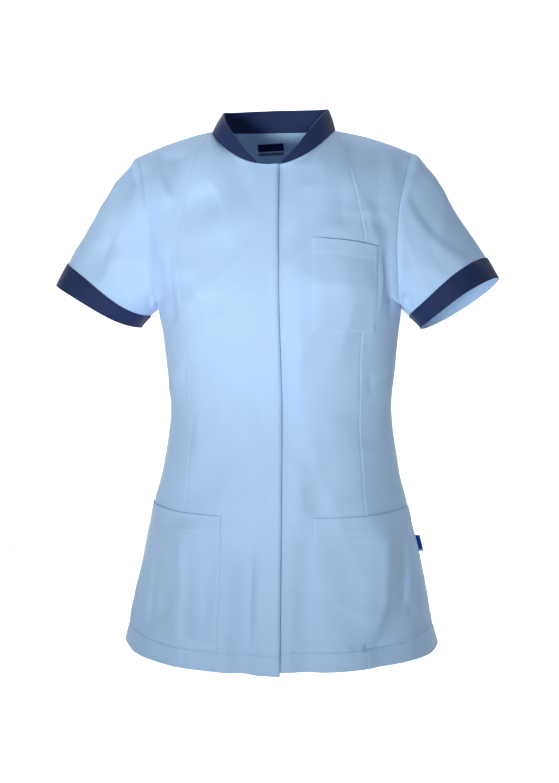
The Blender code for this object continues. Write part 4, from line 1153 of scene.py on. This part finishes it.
def principled(name, base, roughness, sheen=0.0, metallic=0.0, specular=0.3):
    """A Principled material, its node tree and its shader."""
    material = bpy.data.materials.new(name)
    material.use_nodes = True
    tree = material.node_tree
    shader = tree.nodes["Principled BSDF"]
    look = {"Base Color": (*base, 1.0), "Roughness": roughness, "Metallic": metallic, "Sheen Weight": sheen}
    feed(tree, shader, {**look, "Sheen Roughness": 0.4, "Specular IOR Level": specular})
    return material, tree, shader


def raise_surface(tree, shader, height, strength, distance):
    """Bumps the surface by a height."""
    bump = add(tree, "Bump", {"Strength": strength, "Distance": distance, "Height": height})
    feed(tree, shader, {"Normal": bump["Normal"]})


def two_tone(tree, shader, factor, first, second):
    """Mixes two colours by a factor."""
    colours = {"A": (*first, 1.0), "B": (*second, 1.0), "Factor": factor}
    feed(tree, shader, {"Base Color": add(tree, "Mix", colours, data_type="RGBA")["Result"]})


def woven(name, light, deep, blotch, sheen):
    """Plain-weave cloth: warp and weft in bump and colour, uneven yarns and a slow change of tone."""
    material, tree, shader = principled(name, light, CLOTH_ROUGHNESS, sheen)
    uv = add(tree, "UVMap", {}, uv_map="cloth_mm")["UV"]
    parts = add(tree, "SeparateXYZ", {0: uv})
    yarns = [math_node(tree, "MULTIPLY", parts[axis], 2.0 * math.pi / YARN_PITCH) for axis in ("X", "Y")]
    over = math_node(tree, "MULTIPLY", *(math_node(tree, "SINE", yarn) for yarn in yarns))
    slubs = []
    for stretch in SLUB_STRETCH:
        place = add(tree, "VectorMath", {0: uv, 1: stretch}, operation="MULTIPLY")[0]
        slubs.append(add(tree, "TexNoise", {"Vector": place, "Scale": 1.0, "Detail": 2.0})["Fac"])
    uneven = math_node(tree, "ADD", *slubs)
    weave = math_node(tree, "MULTIPLY", over, WEAVE_HEIGHT)
    height = math_node(tree, "MULTIPLY_ADD", uneven, SLUB_HEIGHT, weave)
    raise_surface(tree, shader, height, strength=0.35, distance=0.00016)
    place = add(tree, "TexCoord", {})["Object"]
    cloud = add(tree, "TexNoise", {"Vector": place, "Scale": 9.0, "Detail": 3.0, "Roughness": 0.55})["Fac"]
    tone = math_node(tree, "MULTIPLY_ADD", cloud, blotch, math_node(tree, "MULTIPLY", uneven, SLUB_TONE))
    level = add(tree, "MapRange", {"Value": tone, "From Min": 0.25, "From Max": 0.75})["Result"]
    two_tone(tree, shader, level, deep, light)
    return material


def satin_label(name, base, edge=None):
    """Woven tape: fine ribs across, and a paler lower edge where one shows."""
    material, tree, shader = principled(name, base, roughness=0.7, specular=0.1)
    place = add(tree, "TexCoord", {})["Object"]
    ribs = {"Vector": place, "Scale": 420.0, "Distortion": 0.4}
    factor = add(tree, "TexWave", ribs, bands_direction="Z")["Fac"]
    raise_surface(tree, shader, factor, strength=0.3, distance=0.00012)
    if edge:
        z = add(tree, "SeparateXYZ", {0: place})["Z"]
        ends = {"From Min": TAB_EDGE_Z + TAB_EDGE_BLUR, "From Max": TAB_EDGE_Z - TAB_EDGE_BLUR}
        factor = add(tree, "MapRange", {"Value": z, **ends})["Result"]
    two_tone(tree, shader, factor, base, edge or tuple(min(1.0, RIB_TONE * c + RIB_BLACK) for c in base))
    return material


def thread(name, base):
    """Sewing thread with its twist."""
    material, tree, shader = principled(name, base, roughness=0.55, sheen=0.2)
    place = add(tree, "TexCoord", {})["Object"]
    twist = add(tree, "TexWave", {"Vector": place, "Scale": 900.0, "Distortion": 1.0})["Fac"]
    raise_surface(tree, shader, twist, strength=0.3, distance=0.0001)
    return material


def plated(name, base):
    """Nickel-plated metal with faint marks."""
    material, tree, shader = principled(name, base, roughness=0.3, metallic=0.9)
    place = add(tree, "TexCoord", {})["Object"]
    marks = add(tree, "TexNoise", {"Vector": place, "Scale": 600.0, "Detail": 2.0})["Fac"]
    rough = add(tree, "MapRange", {"Value": marks, "To Min": 0.25, "To Max": 0.42})["Result"]
    feed(tree, shader, {"Roughness": rough})
    return material


def fly_lift(jacket):
    """Stand-off of the right front's free edge."""
    lift = by_height(FLY_LIFT, jacket.front_v)[:, None]
    return lift * smooth((jacket.front[..., 0] - (FLY_X - FLY_LIFT_X)) / FLY_LIFT_X)


def front_pieces(jacket, material):
    """The two fronts, the two side fronts and the back."""
    line, points, normals = jacket.line, jacket.front, jacket.front_n
    part = slice(line["seam_right"], line["fly"] + 1)
    jacket.lifted = points + normals * fly_lift(jacket)[..., None]
    outer, inner = cloth(jacket.lifted[:, part], normals[:, part])
    x = points[:, part, 0]
    near_edge = np.clip((x - (FLY_X - FLY_NOSE)) / FLY_NOSE, 0.0, 1.0)
    outer -= normals[:, part] * (FLY_DROP * near_edge**2)[..., None]
    inner -= normals[:, part] * (FLY_RIM * smooth((x - (FLY_X - FLY_RIM_X)) / FLY_RIM_OVER))[..., None]
    panel("front_right", outer, inner, ("left", "top"), material)
    part = slice(line["underlap"], line["seam_left"] + 1)
    x = points[:, part, 0]
    v = jacket.front_v[:, None]
    sink = LAP_STEP * (1.0 - smooth((x - SINK_FULL_X) / (SINK_FROM_X - SINK_FULL_X)))
    sunk = sink[..., None] * normals[:, part]
    sunk[..., 2] -= hem_lift(np.clip(x, *UNDER_LIFT_X), v, UNDER_LIFT_X[0]) - hem_lift(x, v)
    jacket.left_points = points[:, part] - sunk
    outer, inner = cloth(jacket.left_points, normals[:, part])
    panel("front_left", outer, inner, ("right", "top"), material)
    for name, part in (
        ("side_front_right", slice(0, line["seam_right"] + 1)),
        ("side_front_left", slice(line["seam_left"], line["armhole_left"] + 1)),
    ):
        panel(name, *cloth(points[:, part], normals[:, part]), ("left", "right", "top"), material)
    panel("back", *cloth(jacket.back, jacket.back_n), ("left", "right", "top"), material)


def sleeve_pieces(jacket, pale, navy):
    """The sleeves, and the navy bands round their ends."""
    for side, name in ((-1, "right"), (1, "left")):
        ring = jacket.sleeves[side]
        outer, inner = cloth(ring["grid"], ring["normals"])
        draw_back((outer, inner), ("bottom",))
        wall_piece("sleeve_" + name, outer, inner, pale, ring=True)
        band = slice(ring["band"], None)
        high, low = cloth(ring["grid"][band], ring["normals"][band], CUFF_WALL, CUFF_OUT)
        wall_piece("cuff_" + name, high, low, navy, ring=True, bevel=0.4)


def collar_piece(jacket, material):
    """The stand collar, along the neckline from the right front's end round the nape to the left one's."""
    first, last = jacket.line["underlap"], jacket.line["collar_left"]
    neck_r, neck_l = jacket.line["neck_point_right"], jacket.line["neck_point_left"]
    nape = slice(jacket.back_line["neck_point_left"], jacket.back_line["neck_point_right"] + 1)
    right = jacket.front[-1, neck_r : first + 1][::-1]
    left = jacket.front[-1, last : neck_l + 1][::-1]
    behind = jacket.back[-1, nape][::-1]
    base = np.concatenate([right, behind[1:-1], left])
    along = travelled(base)
    middle = np.argmin(np.abs(base[len(right) : -len(left), 0])) + len(right)
    span = np.where(along < along[middle], along[middle], along[-1] - along[middle])
    height = np.interp(np.abs(along - along[middle]) / span, COLLAR_AT, COLLAR_HEIGHT)
    tangent = unit(np.gradient(base, axis=0))
    up = unit(np.array([0.0, 0.0, 1.0]) - tangent[:, 2:3] * tangent)
    away = unit(np.cross(up, tangent))
    away *= np.sign(np.sum(away * (base - (0.0, COLLAR_MIDDLE_Y, base[:, 2].mean())), axis=1, keepdims=True))
    behind_front = smooth((base[:, 1] + COLLAR_FRONT_Y) / COLLAR_OVER)
    to_right = np.clip(-base[:, 0] / NECK_HALF, 0.0, 1.0) * behind_front
    tilt = np.radians(COLLAR_LEAN + COLLAR_LEAN_RIGHT * to_right)[:, None]
    rise = up * np.cos(tilt) - away * np.sin(tilt)
    normal = unit(away * np.cos(tilt) + up * np.sin(tilt))
    rows = np.arange(COLLAR_ROWS + 1) / COLLAR_ROWS
    grid = np.stack([base + rise * (height * k)[:, None] for k in rows])
    normals = np.repeat(normal[None], len(rows), axis=0)
    belly = COLLAR_BELLY * np.sin(rows * math.pi)[:, None] * smooth(height / COLLAR_FULL)[None]
    uneven = COLLAR_WAVES * waves(grid.reshape(-1, 3)).reshape(grid.shape[:2])
    grid = grid + normals * (belly + uneven)[..., None]
    outer, inner = cloth(grid, normals, COLLAR_WALL, COLLAR_PROUD)
    draw_back((outer, inner), ("bottom",))
    wall_piece("collar", outer, inner, material, bevel=0.6)


def pocket_piece(jacket, name, ends, columns, material):
    """A patch pocket on the front's own points, with sewn edges, a turned top and a little fullness."""
    rows = slice(jacket.row(ends[0]), jacket.row(ends[1]) + 1)
    points, normals = jacket.creased[rows, columns], jacket.front_n[rows, columns]
    v = jacket.front_v[rows, None]
    i = (v - v[0]) / (v[-1] - v[0])
    from_left = travelled(points, 1)
    from_right = from_left[:, -1:] - from_left
    j = from_left / from_left[:, -1:]
    full = POCKET_FULLNESS * np.sin(np.pi * np.clip(i * POCKET_LOW, 0.0, 1.0)) * np.sin(np.pi * j)
    sewn = smooth(from_left / POCKET_SEWN) * smooth(from_right / POCKET_SEWN)
    sewn = sewn * smooth((v - v[0]) / POCKET_SEWN)
    ripple = POCKET_RIPPLE * np.sin(v / RIPPLE_PITCH + 3.0 * np.sin(v / RIPPLE_DRIFT))
    ripple = ripple * (np.exp(-from_left / RIPPLE_REACH) + np.exp(-from_right / RIPPLE_REACH))
    hem = v[-1] - POCKET_HEM
    turned = POCKET_LIFT * smooth((v - hem + POCKET_TURN[0]) / POCKET_TURN[1])
    turned = turned - POCKET_GROOVE * bell(v - hem, GROOVE_WIDTH)
    out = POCKET_OUT + full + (POCKET_LIFT + ripple) * sewn + turned * smooth(from_left / POCKET_TURN_EDGE)
    high = points + normals * (out + POCKET_OUT)[..., None]
    low = points + normals * np.maximum(out - POCKET_IN, POCKET_CLEAR)[..., None]
    jacket.pocket_grids[name] = high, normals, v[:, 0]
    wall_piece(name, high, low, material, bevel=0.25)


def pocket_pieces(jacket, material):
    """The chest pocket and both hip pockets."""
    line = jacket.line
    jacket.pocket_grids = {}
    for name, ends, first, last in (
        ("chest_pocket", (CHEST_LOW_V, CHEST_TOP_V), line["pocket_left"], line["chest_pocket_out"]),
        ("hip_pocket_right", (HEM_V, HIP_TOP_V), 1, line["hip_pocket_right"]),
        ("hip_pocket_left", (LEFT_POCKET_V, HIP_TOP_V), line["pocket_left"], line["armhole_left"] - 1),
    ):
        pocket_piece(jacket, name, ends, slice(first, last + 1), material)


def back_place(x, z):
    """Column and height of a place on the back near the neck."""
    v_fine = np.linspace(NAPE_V, BACK_TOP_V, 93)
    fine = np.linspace(-0.5, 0.5, 101)
    a = x / NAPE_X
    for _ in range(6):
        column = body(np.full_like(v_fine, a), v_fine, True)
        v = float(np.interp(z, column[:, 2], v_fine))
        a = float(np.interp(x, body(fine, v, True)[:, 0], fine))
    return a, v


def inside_label(jacket, name, box, material):
    """A flat woven label on the inside of the back."""
    x0, x1, z0, z1 = box
    near, far = [], []
    zs, xs = np.linspace(z0, z1, LABEL_ROWS), np.linspace(x1, x0, LABEL_LINES)
    for z in zs:
        for x in xs:
            a, v = back_place(x, z)
            p = body(np.array([a, a + PROBE, a]), np.array([v, v, v + 1.0]), True)
            normal = -unit(np.cross(p[1] - p[0], p[2] - p[0]))
            move = jacket.relief(p[:1])[0] * smooth((BACK_TOP_V - v) / TOP_FADE)
            cloth_at = p[0] + normal * (move - SHELL)
            near.append(cloth_at - normal * LABEL_GAP)
            far.append(cloth_at - normal * (LABEL_GAP + LABEL_WALL))
    shape = (len(zs), len(xs), 3)
    wall_piece(name, np.array(near).reshape(shape), np.array(far).reshape(shape), material)


def side_tab(jacket, material):
    """A tape folded over at its outer edge, with both ends caught in the left side seam."""
    seam = jacket.front[:, -1]
    rows = np.interp(np.linspace(*SIDE_TAB_Z, TAB_ROWS), seam[:, 2], np.arange(len(seam)))
    straight = np.linspace(SIDE_TAB_IN, SIDE_TAB_OUT - SIDE_TAB_FOLD, TAB_STRAIGHT)
    bend = np.linspace(-math.pi / 2, math.pi / 2, TAB_BEND)[1:-1]
    x = np.concatenate([straight, straight[-1] + SIDE_TAB_FOLD * np.cos(bend), straight[::-1]])
    pinch = TAB_PINCH + (1.0 - TAB_PINCH) * smooth((straight - TAB_PINCH_X) / TAB_PINCH_OVER)
    y = SIDE_TAB_FOLD * np.concatenate([-pinch, np.sin(bend), pinch[::-1]])
    path = np.stack([x, y + TAB_BEHIND + TAB_SKEW * x, -TAB_DROOP * x * x], axis=1)
    along = unit(np.gradient(path, axis=0))
    away = np.stack([along[:, 1], -along[:, 0], 0.0 * x], axis=1)
    grid = []
    for r in rows:
        i = int(r)
        grid.append(seam[i] + (r - i) * (seam[i + 1] - seam[i]) + path)
    grid = np.array(grid)
    half = away[None] * SIDE_TAB_WALL / 2
    wall_piece("side_label", grid + half, grid - half, material, bevel=0.1)


def stitch_points(line, normals):
    """Places, directions and normals of evenly spaced stitches along a line."""
    along = travelled(line)
    count = int(along[-1] / STITCH_PITCH)
    at = (np.arange(count) + 0.5) * along[-1] / max(count, 1)

    def read(values, where):
        return np.stack([np.interp(where, along, values[:, k]) for k in range(3)], axis=1)

    ends = read(line, at - 0.5 * STITCH_LENGTH), read(line, at + 0.5 * STITCH_LENGTH)
    return *ends, unit(read(normals, at))


def stitches(name, runs, material):
    """The stitches of one thread as one mesh, each a slim six-sided lozenge half sunk in the cloth."""
    points, faces = [], []
    sides = STITCH_SIDES
    for line, normals in runs:
        start, end, n = stitch_points(line, normals)
        across = unit(np.cross(unit(end - start), n))
        for s, e, c, up in zip(start, end, across, n):
            base = len(points)
            points.append(s - up * STITCH_SUNK)
            for share in STITCH_SHOULDERS:
                middle = s + (e - s) * share + up * STITCH_RAISED
                for k in range(sides):
                    angle = 2.0 * math.pi * k / sides
                    spoke = math.cos(angle) * c + STITCH_FLAT * math.sin(angle) * up
                    points.append(middle + STITCH_RADIUS * spoke)
            points.append(e - up * STITCH_SUNK)
            for k in range(sides):
                n1 = (k + 1) % sides
                faces.append((base, base + 1 + n1, base + 1 + k))
                faces.append((base + 1 + k, base + 1 + n1, base + 1 + sides + n1, base + 1 + sides + k))
                faces.append((base + 2 * sides + 1, base + 1 + sides + k, base + 1 + sides + n1))
    obj = new_object(name, (lean(np.array(points)) * MM).tolist(), faces, material)
    finish_piece(obj, None, bevel=0.0)


def sewing(jacket, material):
    """Hem, pocket and princess-seam stitching."""
    runs = []

    def sew(points, normals, *place):
        runs.append((points[place], normals[place]))

    line, normals = jacket.line, jacket.front_n
    row = jacket.row(HEM_V)
    sew(jacket.lifted, normals, row, slice(2, line["fly"]))
    left_normals = normals[:, line["underlap"] : line["seam_left"] + 1]
    sew(jacket.left_points, left_normals, row, slice(line["fly"] - line["underlap"] + 2, None))
    sew(jacket.front, normals, row, slice(line["seam_left"], -2))
    sew(jacket.back, jacket.back_n, jacket.row(HEM_V, True), slice(2, -2))
    for name, (grid, pocket_normals, v) in jacket.pocket_grids.items():
        low = int(np.abs(v - v[0] - POCKET_STITCH_IN).argmin())
        for k in (int(np.abs(v - (v[-1] - POCKET_HEM)).argmin()), low):
            sew(grid, pocket_normals, k, slice(2, -2))
        for open_at, near, far in (("hip_pocket_right", 1, 2), ("hip_pocket_left", -2, -3)):
            if name != open_at:
                between = grid[low:, near] * (1.0 - POCKET_STITCH_AT) + grid[low:, far] * POCKET_STITCH_AT
                runs.append((between, pocket_normals[low:, far]))
    for name, towards in (("seam_right", -1), ("seam_left", 1)):
        sew(jacket.front, normals, slice(3, -6), line[name] + 2 * towards)
    stitches("stitching", runs, material)


def backdrop():
    """A pale floor, and a pale sweep of backdrop that rises from it behind the jacket."""
    material = principled("studio_pale", FLOOR, roughness=0.9, specular=0.0)[0]
    corners = [(x * FLOOR_HALF, y * FLOOR_HALF, FLOOR_Z) for x, y in ((-1, -1), (1, -1), (1, 1), (-1, 1))]
    sweep, faces = [], []
    bend = np.linspace(0.0, math.pi / 2, 25)
    low = FLOOR_Z + SWEEP_ABOVE
    profile = [(SWEEP_Y + SWEEP_R * math.sin(t), low + SWEEP_R * (1.0 - math.cos(t))) for t in bend]
    profile.append((SWEEP_Y + SWEEP_R, SWEEP_TOP))
    for k, (y, z) in enumerate(profile):
        sweep += [(-SWEEP_HALF, y, z), (SWEEP_HALF, y, z)]
        if k:
            faces.append((2 * k - 2, 2 * k - 1, 2 * k + 1, 2 * k))
    for name, points, quads in (("floor", corners, [(0, 1, 2, 3)]), ("backdrop", sweep, faces)):
        new_object(name, points, quads, material)


def studio():
    """A key lamp and a weak side lamp, a dim room all round, and lamps turned on the backdrop alone."""
    world = bpy.data.worlds.new("studio")
    bpy.context.scene.world = world
    world.use_nodes = True
    tree = world.node_tree
    z = add(tree, "SeparateXYZ", {0: add(tree, "TexCoord", {})["Generated"]})["Z"]
    levels = {"From Min": 0.0, "From Max": ROOM_FADE, "To Min": ROOM, "To Max": ROOM_ABOVE}
    level = add(tree, "MapRange", {"Value": z, **levels})["Result"]
    feed(tree, tree.nodes["Background"], {"Color": (*ROOM_COLOUR, 1.0), "Strength": level})
    for name, place, target, width, height, power, spread in LAMPS:
        data = bpy.data.lights.new(name, "AREA")
        data.shape = "RECTANGLE"
        data.size = width
        data.size_y = height
        data.energy = power
        data.spread = math.radians(spread)
        light = placed(name, data)
        light.location = place
        light.rotation_euler = (Vector(target) - Vector(place)).to_track_quat("-Z", "Y").to_euler()
    bpy.context.scene.view_settings.view_transform = "Standard"


def camera():
    """The photo's view, a little from the wearer's left and above."""
    data = bpy.data.cameras.new("camera")
    data.sensor_width = CAMERA_SENSOR
    data.lens = CAMERA_LENS
    obj = placed("camera", data)
    turn = math.radians(CAMERA_TURN)
    x, y = CAMERA_X + CAMERA_DISTANCE * math.sin(turn), -CAMERA_DISTANCE * math.cos(turn)
    obj.location = (x, y, CAMERA_HEIGHT)
    obj.rotation_euler = (math.radians(90.0 - CAMERA_TILT), 0.0, turn)
    bpy.context.scene.camera = obj


def build():
    """Everything in the scene: camera, studio, cloth pieces, labels, sewing and studs."""
    camera()
    backdrop()
    studio()
    pale = woven("poplin_pale", PALE, PALE_DEEP, blotch=0.5, sheen=0.25)
    navy = woven("poplin_navy", NAVY, NAVY_DEEP, blotch=0.4, sheen=0.15)
    jacket = Jacket()
    front_pieces(jacket, pale)
    sleeve_pieces(jacket, pale, navy)
    collar_piece(jacket, navy)
    pocket_pieces(jacket, pale)
    inside_label(jacket, "neck_label", NECK_LABEL, satin_label("label", LABEL_BLUE))
    inside_label(jacket, "size_label", SIZE_LABEL, satin_label("strip", STRIP_GREY))
    side_tab(jacket, satin_label("tab", TAB_BLUE, TAB_EDGE))
    sewing(jacket, thread("thread_pale", THREAD_PALE))
    metal = plated("nickel", METAL)
    for name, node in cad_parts.items():
        if name.startswith("press_stud"):
            node.data.materials.clear()
            node.data.materials.append(metal)


build()
